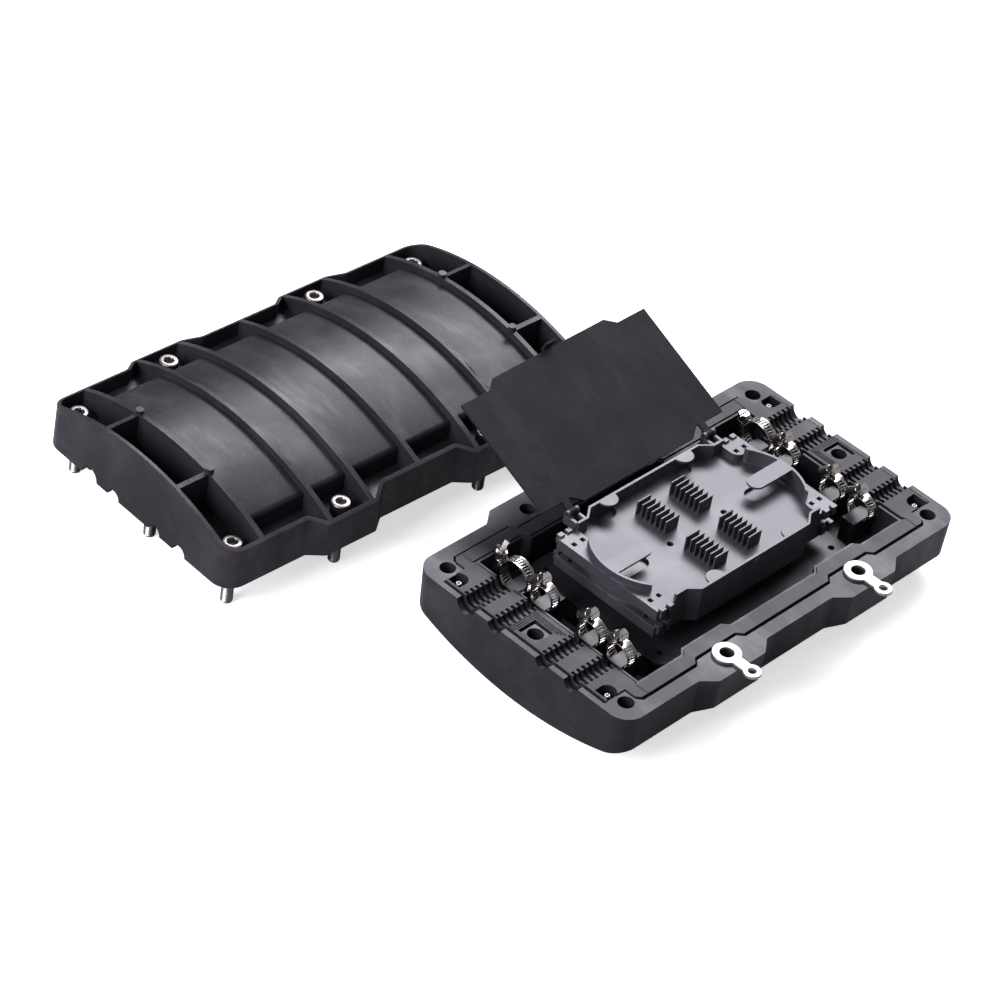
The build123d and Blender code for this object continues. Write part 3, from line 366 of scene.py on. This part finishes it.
def metal_marks_group():
    """Drawn lines and small stains on bright metal."""
    tree, given, out = new_group(
        "metal_marks",
        [("Colour", "NodeSocketColor", (0.6, 0.6, 0.6, 1.0)),
         ("Stain", "NodeSocketColor", STAIN),
         ("Lines", "NodeSocketVector", (200.0, 4000.0, 4000.0)),
         ("Amount", "NodeSocketFloat", 0.3),
         ("Roughness", "NodeSocketFloat", 0.2)],
        [("Colour", "NodeSocketColor"), ("Roughness", "NodeSocketFloat"), ("Normal", "NodeSocketVector")],
    )
    lines_roughen = 0.12
    stains_roughen = 0.25
    line_depth = 0.00002

    place = object_place(tree)
    drawn_place = add(tree, "ShaderNodeVectorMath", {"operation": "MULTIPLY"})
    put(tree, drawn_place.inputs[0], place)
    put(tree, drawn_place.inputs[1], given["Lines"])
    drawn = noise(tree, drawn_place.outputs[0], scale=1.0, detail=3.0)
    stain = ramp(tree, noise(tree, place, scale=260.0, detail=4.0), low=0.5, high=0.75)
    patch = arithmetic(tree, "MULTIPLY", stain, given["Amount"])
    put(tree, out["Colour"], mix_colour(tree, patch, given["Colour"], given["Stain"]))
    rough = arithmetic(tree, "MULTIPLY_ADD", drawn, lines_roughen, given["Roughness"])
    put(tree, out["Roughness"], arithmetic(tree, "MULTIPLY_ADD", patch, stains_roughen, rough, clamp=True))
    bump = add(tree, "ShaderNodeBump", Strength=0.6, Distance=line_depth, Height=drawn)
    put(tree, out["Normal"], bump.outputs["Normal"])


def new_material(name, viewport_colour):
    """A material with nothing but a Principled shader, returned with its node tree and its shader."""
    made = bpy.data.materials.new(name)
    made.use_nodes = True
    made.diffuse_color = viewport_colour
    tree = made.node_tree
    tree.nodes.clear()
    shader = tree.nodes.new("ShaderNodeBsdfPrincipled")
    add(tree, "ShaderNodeOutputMaterial", Surface=shader.outputs[0])
    return made, tree, shader


def plastic(name, colour, bloom, mottle, dust, roughness, grain, specular, polish, wear):
    """A moulded plastic or rubber, with dust and paler worn edges, and glossier where it is mottled."""
    made, tree, shader = new_material(name, colour)
    skin = use_group(tree, "moulded_skin", Colour=colour, Bloom=bloom, Mottle=mottle, Dust=dust,
                     Roughness=roughness, Grain=grain, Rounding=bpy.context.scene.closure_sizes.lit_edge)
    edges = use_group(tree, "edge_wear", Amount=wear)
    worn = mix_colour(tree, edges.outputs["Mask"], skin.outputs["Colour"], bloom)
    gloss = arithmetic(tree, "MULTIPLY", skin.outputs["Mottle"], polish, clamp=True)
    shader.inputs["Specular IOR Level"].default_value = specular
    shader.inputs["Coat Roughness"].default_value = roughness
    put(tree, shader.inputs["Coat Weight"], gloss)
    put(tree, shader.inputs["Base Color"], worn)
    put(tree, shader.inputs["Roughness"], skin.outputs["Roughness"])
    put(tree, shader.inputs["Normal"], skin.outputs["Normal"])
    return made


def metal(name, colour, lines, amount, roughness):
    """A bright metal with drawn lines and a few stains."""
    made, tree, shader = new_material(name, colour)
    marks = use_group(tree, "metal_marks", Colour=colour, Stain=STAIN, Lines=lines, Amount=amount,
                      Roughness=roughness)
    shader.inputs["Metallic"].default_value = 1.0
    put(tree, shader.inputs["Base Color"], marks.outputs["Colour"])
    put(tree, shader.inputs["Roughness"], marks.outputs["Roughness"])
    put(tree, shader.inputs["Normal"], marks.outputs["Normal"])
    return made


def finish_of(kind):
    """The material of one finish, made once."""
    found = bpy.data.materials.get(kind)
    if found:
        return found
    make, finish = (plastic, PLASTICS[kind]) if kind in PLASTICS else (metal, METALS[kind])
    settings = dict(finish)
    colour = getattr(bpy.context.scene.closure_colours, settings.pop("colour"))
    return make(kind, tuple(colour), **settings)


# Pieces that keep a carried node's own form

def node_outline(node, flat_joined):
    """The vertices and faces of a carried node, welded, with its flat faces joined if asked."""
    work = bmesh.new()
    work.from_mesh(frame["nodes"][node].data)
    bmesh.ops.remove_doubles(work, verts=work.verts, dist=0.00002)
    if flat_joined:
        bmesh.ops.dissolve_limit(
            work, angle_limit=math.radians(0.6), verts=work.verts, edges=work.edges, delimit=set())
    work.verts.index_update()
    points = [tuple(v.co) for v in work.verts]
    faces = [[v.index for v in face.verts] for face in work.faces]
    work.free()
    return points, faces


def new_piece(name, points, faces, material, smooth_angle=30.0):
    """A mesh object at the world's origin, smooth except at edges sharper than an angle."""
    mesh = bpy.data.meshes.new(name)
    mesh.from_pydata([tuple(p) for p in points], [], [tuple(int(i) for i in face) for face in faces])
    mesh.update()
    mesh.validate()
    mesh.shade_smooth()
    mesh.set_sharp_from_angle(angle=math.radians(smooth_angle))
    mesh.materials.append(finish_of(material))
    piece = bpy.data.objects.new(name, mesh)
    bpy.context.scene.collection.objects.link(piece)
    return piece


def round_edges(piece, width, segments=2):
    """Rounds a piece's edges that are sharper than 35 degrees."""
    bevel = piece.modifiers.new("rounded edges", "BEVEL")
    bevel.width = width
    bevel.segments = segments
    bevel.limit_method = "ANGLE"
    bevel.angle_limit = math.radians(35.0)
    bevel.use_clamp_overlap = True
    bevel.harden_normals = True
    bevel.miter_outer = "MITER_ARC"
    bevel.loop_slide = False


def thicken(piece, name, thickness, offset):
    """Gives a surface the thickness of its sheet, behind its faces (offset -1) or on both sides (0)."""
    wall = piece.modifiers.new(name, "SOLIDIFY")
    wall.thickness = thickness
    wall.offset = offset


def dressed(node, material, edge=0.0, body="closure"):
    """A finer copy of a carried node: the same form, with rounded edges if an edge width is given."""
    points, faces = node_outline(node, edge > 0.0)
    piece = new_piece(node + "_skin", points, faces, material)
    if edge > 0.0:
        round_edges(piece, edge)
    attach(piece, body)
    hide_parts(node)


class CLOSURE_OT_shells(bpy.types.Operator):
    """Makes the ribbed base and cover shells"""

    bl_idname = "closure.shells"
    bl_label = "Shells"

    def execute(self, context):
        for node in ("base_shell", "cover_shell"):
            dressed(node, "shell_black", context.scene.closure_sizes.shell_edge)
        return {"FINISHED"}


class CLOSURE_OT_seals(bpy.types.Operator):
    """Makes the four end seals and the two side gaskets"""

    bl_idname = "closure.seals"
    bl_label = "Seals"

    def execute(self, context):
        for node in ("left_end_seal", "right_end_seal", "cover_left_seal", "cover_right_seal",
                     "near_side_gasket", "far_side_gasket"):
            dressed(node, "seal_rubber", context.scene.closure_sizes.seal_edge)
        return {"FINISHED"}


class CLOSURE_OT_trays(bpy.types.Operator):
    """Makes the two splice trays, the brackets and the lid"""

    bl_idname = "closure.trays"
    bl_label = "Trays"

    def execute(self, context):
        for node in ("lower_tray", "upper_tray"):
            dressed(node, "tray_plastic")
        for node in ("tray_bracket", "left_cable_bracket", "right_cable_bracket"):
            dressed(node, "bracket_plastic")
        dressed("tray_lid", "lid_plastic", body="tray_lid")
        return {"FINISHED"}


# Round pieces, as closed grids

def grid_quads(rows, columns, first):
    """Quads of a grid whose last column joins its first; rows rise and columns turn left."""
    row, column = np.meshgrid(np.arange(rows - 1), np.arange(columns), indexing="ij")
    after = (column + 1) % columns
    corners = (row * columns + column, row * columns + after,
               (row + 1) * columns + after, (row + 1) * columns + column)
    return first + np.stack(corners, axis=-1).reshape(-1, 4)


def turned_body(radius, height):
    """Points of a body of turning: radius(row, column) at height(row, column), the columns going round Z.

    A point is (radius * cos(angle), radius * sin(angle), height), the angle one turn over the columns.
    """
    angle = np.linspace(0.0, WHOLE_TURN, radius.shape[1], endpoint=False)
    return np.stack([radius * np.cos(angle), radius * np.sin(angle), height], axis=-1)


def all_round(heights, columns):
    """Each row's height, repeated in all of its columns."""
    return np.repeat(np.asarray(heights)[:, None], columns, axis=1)


def joined(grids):
    """One list of points and one of quads from several closed grids."""
    points = []
    faces = []
    count = 0
    for grid in grids:
        points.append(grid.reshape(-1, 3))
        faces.append(grid_quads(grid.shape[0], grid.shape[1], count))
        count += grid.shape[0] * grid.shape[1]
    return np.concatenate(points), np.concatenate(faces)


def welded(piece):
    """Merges the points that fall together at the poles of a piece's grids."""
    work = bmesh.new()
    work.from_mesh(piece.data)
    bmesh.ops.remove_doubles(work, verts=work.verts, dist=0.0000005)
    work.to_mesh(piece.data)
    work.free()
    piece.data.set_sharp_from_angle(angle=math.radians(32.0))
    return piece


def thread_ridge(angle, height, pitch, depth):
    """How far a V thread is cut in: depth * |2 * phase - 1|, with phase = height / pitch - angle / turn."""
    phase = (height / pitch - angle / WHOLE_TURN) % 1.0
    return depth * np.abs(2.0 * phase - 1.0)


def screw_thread(radius, length, pitch, depth):
    """A threaded rod from height 0 to its length: the radius less the thread's ridge.

    The ridge fades over one pitch at both ends, and the rod's lower end is chamfered.
    """
    columns = 36
    rows_per_pitch = 6
    chamfer_height = 0.8 * pitch
    chamfer_depth = 1.2 * depth
    rows = int(length / pitch * rows_per_pitch)
    height = all_round(np.linspace(0.0, length, rows), columns)
    angle = np.linspace(0.0, WHOLE_TURN, columns, endpoint=False)[None, :]
    fade = np.clip(np.minimum(height, length - height) / pitch, 0.0, 1.0)
    ridge = thread_ridge(angle, height, pitch, depth) * fade
    chamfer = np.clip(1.0 - height / chamfer_height, 0.0, 1.0) * chamfer_depth
    ends = np.zeros((1, columns))
    return turned_body(
        np.vstack([ends, radius - ridge - chamfer, ends]), np.vstack([height[:1], height, height[-1:]]))


def plain_shank(radius, low, high):
    """A plain rod between two heights, with a flat cone at its lower end, inside the thread."""
    columns = 36
    cone_height = 0.0006
    radii = np.array([0.0, 1.0, 1.0, 0.0])[:, None] * np.full((1, columns), radius)
    return turned_body(radii, all_round([low, low + cone_height, high, high], columns))


def six_sided(half_flats, columns):
    """The radius of a hexagon all round: half_flats / cos(angle from the middle of the nearest flat)."""
    angle = np.linspace(0.0, WHOLE_TURN, columns, endpoint=False)
    return half_flats / np.cos((angle + math.pi / 6.0) % (math.pi / 3.0) - math.pi / 6.0)


def socket_head(radius, bottom, top, sizes):
    """A cap screw's head: a knurled drum with a rounded rim and a chamfered hexagon socket.

    The drum's wall is the radius less knurl_depth * (1 - cos(knurl_count * angle)) / 2.
    """
    edge = 0.0007
    socket_chamfer = 0.0006
    chamfer_reach = 0.0003
    drill_point = 0.0012
    columns = sizes.knurl_count * 4
    angle = np.linspace(0.0, WHOLE_TURN, columns, endpoint=False)
    knurled = radius - sizes.knurl_depth * (0.5 - 0.5 * np.cos(sizes.knurl_count * angle))
    hexagon = six_sided(sizes.socket_flats / 2, columns)
    circle = np.ones(columns)
    rows = [
        (0.0 * circle, bottom),
        ((radius - edge) * circle, bottom),
        ((radius - 0.15 * edge) * circle, bottom + 0.3 * edge),
        (knurled, bottom + edge),
        (knurled, top - 1.6 * edge),
        ((radius - 0.25 * edge) * circle, top - 0.9 * edge),
        ((radius - 0.6 * edge) * circle, top - 0.35 * edge),
        ((radius - 1.2 * edge) * circle, top),
        ((max(hexagon) + chamfer_reach) * circle, top),
        (hexagon, top - socket_chamfer),
        (hexagon, top - sizes.socket_depth),
        (0.0 * circle, top - sizes.socket_depth - drill_point),
    ]
    return turned_body(np.array([row[0] for row in rows]), all_round([row[1] for row in rows], columns))


def cover_bolt(number, sizes):
    """A captive cap screw: knurled socket head, plain shank and a cut thread on its lower part."""
    thread_overlap = 0.001
    head_overlap = 0.0005
    shank_play = 0.00005
    node = f"cover_bolt_{number}"
    low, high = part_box(node)
    centre = np.array([(low[0] + high[0]) / 2, (low[1] + high[1]) / 2, 0.0])
    foot = (0.0, 0.0, low[2])
    seat = high[2] - sizes.head_height
    thread = screw_thread(sizes.shank_radius, sizes.thread_length, sizes.thread_pitch, sizes.thread_depth)
    shank = plain_shank(
        sizes.shank_radius - shank_play, sizes.thread_length - thread_overlap, seat + head_overlap)
    head = socket_head((high[0] - low[0]) / 2, seat, high[2], sizes)
    points, faces = joined([thread + centre + foot, shank + centre + foot, head + centre])
    piece = welded(new_piece(f"bolt_{number}", points, faces, "bolt_steel"))
    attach(piece, node)
    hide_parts(node)


class CLOSURE_OT_bolts(bpy.types.Operator):
    """Makes the ten captive bolts of the cover"""

    bl_idname = "closure.bolts"
    bl_label = "Cover Bolts"

    def execute(self, context):
        for number in COVER_BOLTS:
            cover_bolt(number, context.scene.closure_sizes)
        return {"FINISHED"}


def islands(node):
    """The boxes of a node's separate solids, in the order of their lowest corners."""
    work = bmesh.new()
    work.from_mesh(frame["nodes"][node].data)
    bmesh.ops.remove_doubles(work, verts=work.verts, dist=0.00001)
    left = set(work.verts)
    boxes = []
    while left:
        front = [left.pop()]
        found = list(front)
        while front:
            edges = front.pop().link_edges
            fresh = {v for edge in edges for v in edge.verts} & left
            left -= fresh
            front += fresh
            found += fresh
        points = np.array([v.co for v in found])
        boxes.append((points.min(axis=0), points.max(axis=0)))
    work.free()
    return sorted(boxes, key=lambda box: tuple(box[0]))


def insert_body(low, high, bore, pitch):
    """A threaded insert: a sleeve with chamfered rims and a thread down its bore.

    The bore's wall is the bore's radius plus the thread's ridge, from the top down.
    """
    columns = 48
    rows_per_pitch = 6
    thread_depth = 0.0005
    foot_edge = 0.0003
    rim_edge = 0.0005
    mouth_edge = 0.0004
    thread_top = high[2] - 0.0006
    thread_foot = low[2] + 0.001
    centre = (low + high) / 2
    radius = (high[0] - low[0]) / 2
    angle = np.linspace(0.0, WHOLE_TURN, columns, endpoint=False)[None, :]
    steps = int((high[2] - low[2]) / pitch * rows_per_pitch)
    inner_height = all_round(np.linspace(thread_top, thread_foot, steps), columns)
    inner = bore + thread_ridge(angle, inner_height, pitch, thread_depth)
    circle = np.ones((1, columns))
    outside = [
        (radius - foot_edge, low[2]),
        (radius, low[2] + foot_edge),
        (radius, high[2] - rim_edge),
        (radius - rim_edge, high[2]),
        (bore + thread_depth + mouth_edge, high[2]),
    ]
    underside = [(bore + thread_depth, low[2]), (radius - foot_edge, low[2])]
    radii = [row[0] * circle for row in outside] + [inner] + [row[0] * circle for row in underside]
    heights = [row[1] * circle for row in outside] + [inner_height] + [row[1] * circle for row in underside]
    return turned_body(np.vstack(radii), np.vstack(heights)) + (centre[0], centre[1], 0.0)


class CLOSURE_OT_inserts(bpy.types.Operator):
    """Makes the ten threaded inserts of the base"""

    bl_idname = "closure.inserts"
    bl_label = "Threaded Inserts"

    def execute(self, context):
        sizes = context.scene.closure_sizes
        thread_reach = 0.0003
        bore = sizes.shank_radius - thread_reach
        boxes = islands("threaded_inserts")
        grids = [insert_body(low, high, bore, sizes.thread_pitch) for low, high in boxes]
        points, faces = joined(grids)
        piece = welded(new_piece("insert_sleeves", points, faces, "insert_brass"))
        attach(piece, "closure")
        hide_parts("threaded_inserts")
        return {"FINISHED"}


# Cable clamps, as sheets that are given their thickness

def strip_faces(rows, columns, gone=None):
    """Quads of an open grid, without the cells that a mask takes away."""
    row, column = np.meshgrid(np.arange(rows - 1), np.arange(columns - 1), indexing="ij")
    corners = (row * columns + column, row * columns + column + 1,
               (row + 1) * columns + column + 1, (row + 1) * columns + column)
    quads = np.stack(corners, axis=-1)
    if gone is not None:
        quads = quads[~gone]
    return quads.reshape(-1, 4)


def joint_of(body):
    """The joint that moves a body."""
    return next(joint for joint in frame["joints"] if joint["child"] == body)


def clamp_frame(number):
    """One clamp's ring (centre, radius, width), and its worm's angle and distance from the ring's centre."""
    low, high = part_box(f"clamp_band_{number}")
    centre = np.array([(low[i] + high[i]) / 2 for i in range(3)])
    joint = joint_of(f"clamp_screw_{number}")
    worm = math.atan2(-joint["axis"][1], joint["axis"][2])
    reach = math.hypot(joint["pos_m"][1] - centre[1], joint["pos_m"][2] - centre[2])
    return centre, (high[1] - low[1]) / 2, high[0] - low[0], worm, reach


def band_surface(radius, width, start):
    """A slotted strip round the cable, with rolled edges: angle along it and place across it.

    A point is (side, reach * cos(angle), reach * sin(angle)), where reach is the radius, and a little more at
    the rolled edges, and angle grows along the strip and by slant * side / radius across it. Every second
    stretch has its two middle cells taken away.
    """
    turns = 0.97
    slot_pitch = 0.0019
    slant = 0.09
    rolled_edge = 0.00025
    first_slot, last_slot = 0.12, 0.98
    across = np.array([-0.5, -0.46, -0.31, 0.0, 0.31, 0.46, 0.5]) * width
    cells = int(turns * WHOLE_TURN * radius / slot_pitch) * 2
    along = np.linspace(0.0, 1.0, cells + 1)
    place, side = np.meshgrid(along, across, indexing="ij")
    angle = start + place * turns * WHOLE_TURN + side * slant / radius
    reach = radius + np.where(np.abs(side) > 0.45 * width, rolled_edge, 0.0)
    points = np.stack([side, reach * np.cos(angle), reach * np.sin(angle)], axis=-1)
    row, column = np.meshgrid(np.arange(cells), np.arange(len(across) - 1), indexing="ij")
    slotted = (row % 2 == 1) & ((column == 2) | (column == 3))
    slotted &= (row > cells * first_slot) & (row < cells * last_slot)
    return points.reshape(-1, 3), strip_faces(cells + 1, len(across), slotted)


def turned_place(points, centre, worm):
    """Puts points (across, outward, along the worm) where the ring's centre and the worm's angle say.

    A point is centre + across * X + outward * (0, cos worm, sin worm) + along * (0, -sin worm, cos worm).
    """
    across, outward, along = points[..., 0], points[..., 1], points[..., 2]
    return centre + np.stack([
        across,
        outward * math.cos(worm) - along * math.sin(worm),
        outward * math.sin(worm) + along * math.cos(worm),
    ], axis=-1)


def housing_saddle(ring, reach, sizes):
    """The pressed saddle over a worm: two feet that lie on the ring and a barrel round the worm.

    Along the worm, a foot keeps to the ring's circle, sqrt(ring^2 - along^2), and its corners draw in with
    the fourth power of the distance from the middle. The barrel is an arc of 230 degrees round the worm, and
    it flares with the eighth power.
    """
    barrel_from, barrel_to = 205.0, -25.0
    flare = 0.00012
    corner_draw = 0.22
    half = sizes.housing_length / 2
    along = np.linspace(-half, half, 15)[:, None]
    share = np.abs(along) / half
    turn = np.radians(np.linspace(barrel_from, barrel_to, 27))[None, :]
    barrel = sizes.barrel_radius + flare * share ** 8
    foot = np.sqrt(ring ** 2 - along ** 2) + sizes.housing_sheet
    width = sizes.housing_width / 2 * (1.0 - corner_draw * share ** 4)
    near_foot = [-width, -0.88 * width, -0.76 * width]
    far_foot = [0.76 * width, 0.88 * width, width]
    across = np.hstack(near_foot + [barrel * np.cos(turn)] + far_foot)
    outward = np.hstack([foot] * 3 + [reach + barrel * np.sin(turn)] + [foot] * 3)
    return np.stack([across, outward, np.broadcast_to(along, across.shape)], axis=-1)


def housing_tongue(ring, sizes):
    """The saddle's lower half: a plate inside the ring, from -24 to 24 degrees round the cable.

    A point is (across, inner * cos(turn), inner * sin(turn)), and the plate narrows with turn to the fourth.
    """
    half_turn = 24.0
    draw_turn = 0.42
    corner_draw = 0.3
    play = 0.0002
    turn = np.radians(np.linspace(-half_turn, half_turn, 13))[:, None]
    narrowed = sizes.housing_width * (1.0 - corner_draw * (turn / draw_turn) ** 4)
    across = np.linspace(-0.5, 0.5, 5)[None, :] * narrowed
    inner = ring - sizes.band_thickness - play
    outward = np.broadcast_to(inner * np.cos(turn), across.shape)
    along = np.broadcast_to(inner * np.sin(turn), across.shape)
    return np.stack([across, outward, along], axis=-1)


def clamp_housing(number, sizes):
    """The pressed housing of one clamp: a saddle over the worm and a tongue under the band."""
    centre, ring, _, worm, reach = clamp_frame(number)
    saddle = housing_saddle(ring, reach, sizes)
    tongue = housing_tongue(ring, sizes)
    points = np.concatenate([saddle.reshape(-1, 3), tongue.reshape(-1, 3)])
    saddle_count = saddle.shape[0] * saddle.shape[1]
    faces = np.concatenate([strip_faces(*saddle.shape[:2]), strip_faces(*tongue.shape[:2]) + saddle_count])
    placed = turned_place(points, centre, worm)
    piece = new_piece(f"pressed_housing_{number}", placed, faces, "clamp_steel", smooth_angle=60.0)
    thicken(piece, "sheet thickness", sizes.housing_sheet, offset=0.0)
    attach(piece, "closure")
    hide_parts(f"clamp_housing_{number}")


def clamp_band(number, sizes):
    """The slotted steel strip of one clamp, which starts a little beyond its worm."""
    start_beyond_worm = 0.35
    strip_share = 0.8
    strip_edge = 0.00012
    centre, ring, width, worm, _ = clamp_frame(number)
    points, faces = band_surface(ring - sizes.band_thickness, width, worm + start_beyond_worm)
    piece = new_piece(f"slotted_band_{number}", points + centre, faces, "clamp_steel")
    thicken(piece, "strip thickness", sizes.band_thickness * strip_share, offset=-1.0)
    round_edges(piece, strip_edge, segments=1)
    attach(piece, "closure")
    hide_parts(f"clamp_band_{number}")


class CLOSURE_OT_clamps(bpy.types.Operator):
    """Makes the eight worm-drive cable clamps"""

    bl_idname = "closure.clamps"
    bl_label = "Cable Clamps"

    def execute(self, context):
        sizes = context.scene.closure_sizes
        for number in CLAMPS:
            clamp_band(number, sizes)
            clamp_housing(number, sizes)
            screw = f"clamp_screw_{number}"
            dressed(screw, "clamp_steel", sizes.worm_screw_edge, body=screw)
        return {"FINISHED"}


class CLOSURE_OT_small_metal(bpy.types.Operator):
    """Makes the suspension lugs and the seals' screws"""

    bl_idname = "closure.small_metal"
    bl_label = "Lugs and Screws"

    def execute(self, context):
        sizes = context.scene.closure_sizes
        for side in ("left", "right"):
            dressed(f"{side}_lug", "lug_steel", sizes.lug_edge)
        dressed("seal_screws", "screw_steel", sizes.seal_screw_edge)
        return {"FINISHED"}


# Stage

def soft_box(name, place, size, power, tint):
    """An area lamp at a place, aimed at the middle of the closure."""
    light = bpy.data.lights.new(name, "AREA")
    light.color = tint
    light.shape = "RECTANGLE"
    light.size = size[0]
    light.size_y = size[1]
    light.energy = power
    lamp = bpy.data.objects.new(name, light)
    bpy.context.scene.collection.objects.link(lamp)
    aim = [t - p for t, p in zip(MIDDLE, place)]
    lamp.location = place
    lamp.rotation_euler = (
        math.atan2(math.hypot(aim[0], aim[1]), -aim[2]), 0.0, math.atan2(aim[1], aim[0]) - math.pi / 2)


def by_ray(tree, plain, mirrored, seen):
    """A level that depends on the ray: plain light, light in mirror reflections, or seen by the camera."""
    path = tree.nodes.new("ShaderNodeLightPath").outputs
    through = arithmetic(tree, "MAXIMUM", path["Is Camera Ray"], path["Is Transmission Ray"])
    level = arithmetic(tree, "MULTIPLY_ADD", path["Is Glossy Ray"], mirrored - plain, plain)
    gap = arithmetic(tree, "SUBTRACT", seen, level)
    return arithmetic(tree, "MULTIPLY_ADD", through, gap, level)


def white_room(scene, levels):
    """A world that is white for the camera and a dim, tinted surround for the closure."""
    world = bpy.data.worlds.new("white room")
    scene.world = world
    world.use_nodes = True
    tree = world.node_tree
    tree.nodes.clear()
    tinted = tuple(levels.tint) + (1.0,)
    whiteness = by_ray(tree, plain=0.0, mirrored=0.0, seen=1.0)
    strength = by_ray(tree, levels.surround, levels.mirrored, seen=1.0)
    colour = mix_colour(tree, whiteness, tinted, (1.0, 1.0, 1.0, 1.0))
    background = add(tree, "ShaderNodeBackground", Color=colour, Strength=strength)
    add(tree, "ShaderNodeOutputWorld", Surface=background.outputs[0])


def paper_floor(scene, levels):
    """A plain floor of pale paper, which looks darker to the closure than to the camera."""
    half = 4.0
    drop = 0.0002
    corners = [(-half, -half, -drop), (half, -half, -drop), (half, half, -drop), (-half, half, -drop)]
    mesh = bpy.data.meshes.new("floor")
    mesh.from_pydata(corners, [], [(0, 1, 2, 3)])
    paper, tree, shader = new_material("floor_paper", (0.86, 0.86, 0.86, 1.0))
    tone = by_ray(tree, plain=0.28, mirrored=0.42, seen=0.86)
    grey = add(tree, "ShaderNodeCombineColor", Red=tone, Green=tone, Blue=tone)
    put(tree, shader.inputs["Base Color"], grey.outputs[0])
    shader.inputs["Roughness"].default_value = 0.9
    shader.inputs["Specular IOR Level"].default_value = 0.1
    shader.inputs["Emission Color"].default_value = (1.0, 1.0, 1.0, 1.0)
    glow = by_ray(tree, plain=0.0, mirrored=0.0, seen=levels.floor_glow)
    put(tree, shader.inputs["Emission Strength"], glow)
    mesh.materials.append(paper)
    floor = bpy.data.objects.new("floor", mesh)
    scene.collection.objects.link(floor)


def photo_camera(scene):
    """A camera at the photograph's viewing angle."""
    camera = bpy.data.cameras.new("camera")
    camera.lens = CAMERA_LENS
    camera.sensor_width = SENSOR_WIDTH
    camera.clip_start = 0.1
    camera.clip_end = 20.0
    holder = bpy.data.objects.new("camera", camera)
    scene.collection.objects.link(holder)
    holder.location = CAMERA_PLACE
    holder.rotation_euler = Euler([math.radians(a) for a in CAMERA_TURN], "XYZ")
    scene.camera = holder


class CLOSURE_OT_stage(bpy.types.Operator):
    """Sets up the pale floor, the soft light and the camera"""

    bl_idname = "closure.stage"
    bl_label = "Stage"

    def execute(self, context):
        scene = context.scene
        levels = scene.closure_stage
        white_room(scene, levels)
        paper_floor(scene, levels)
        for name, (place, size) in LAMPS.items():
            soft_box(name, place, size, getattr(levels, name), tuple(levels.tint))
        photo_camera(scene)
        scene.view_settings.view_transform = "Standard"
        return {"FINISHED"}


OPERATORS = (
    CLOSURE_OT_shells,
    CLOSURE_OT_seals,
    CLOSURE_OT_trays,
    CLOSURE_OT_clamps,
    CLOSURE_OT_bolts,
    CLOSURE_OT_inserts,
    CLOSURE_OT_small_metal,
    CLOSURE_OT_stage,
)


class CLOSURE_PT_pieces(bpy.types.Panel):
    """Lists the pieces of the closure in the sidebar"""

    bl_label = "Closure"
    bl_space_type = "VIEW_3D"
    bl_region_type = "UI"
    bl_category = "Closure"

    def draw(self, context):
        column = self.layout.column()
        for operator in OPERATORS:
            column.operator(operator.bl_idname)
        for group in ("closure_sizes", "closure_colours", "closure_stage"):
            settings = getattr(context.scene, group)
            for key in settings.__annotations__:
                column.prop(settings, key)


CLASSES = (ClosureSizes, ClosureColours, ClosureStage) + OPERATORS + (CLOSURE_PT_pieces,)


def register():
    """Registers the classes and gives the scene their settings."""
    for item in CLASSES:
        bpy.utils.register_class(item)
    bpy.types.Scene.closure_sizes = PointerProperty(type=ClosureSizes)
    bpy.types.Scene.closure_colours = PointerProperty(type=ClosureColours)
    bpy.types.Scene.closure_stage = PointerProperty(type=ClosureStage)


def unregister():
    """Takes the settings and the classes away again."""
    del bpy.types.Scene.closure_stage
    del bpy.types.Scene.closure_colours
    del bpy.types.Scene.closure_sizes
    for item in reversed(CLASSES):
        bpy.utils.unregister_class(item)


def main():
    """Makes every piece and the stage."""
    register()
    moulded_skin_group()
    edge_wear_group()
    metal_marks_group()
    for operator in OPERATORS:
        group, name = operator.bl_idname.split(".")
        getattr(getattr(bpy.ops, group), name)()


if __name__ == "__main__":
    main()
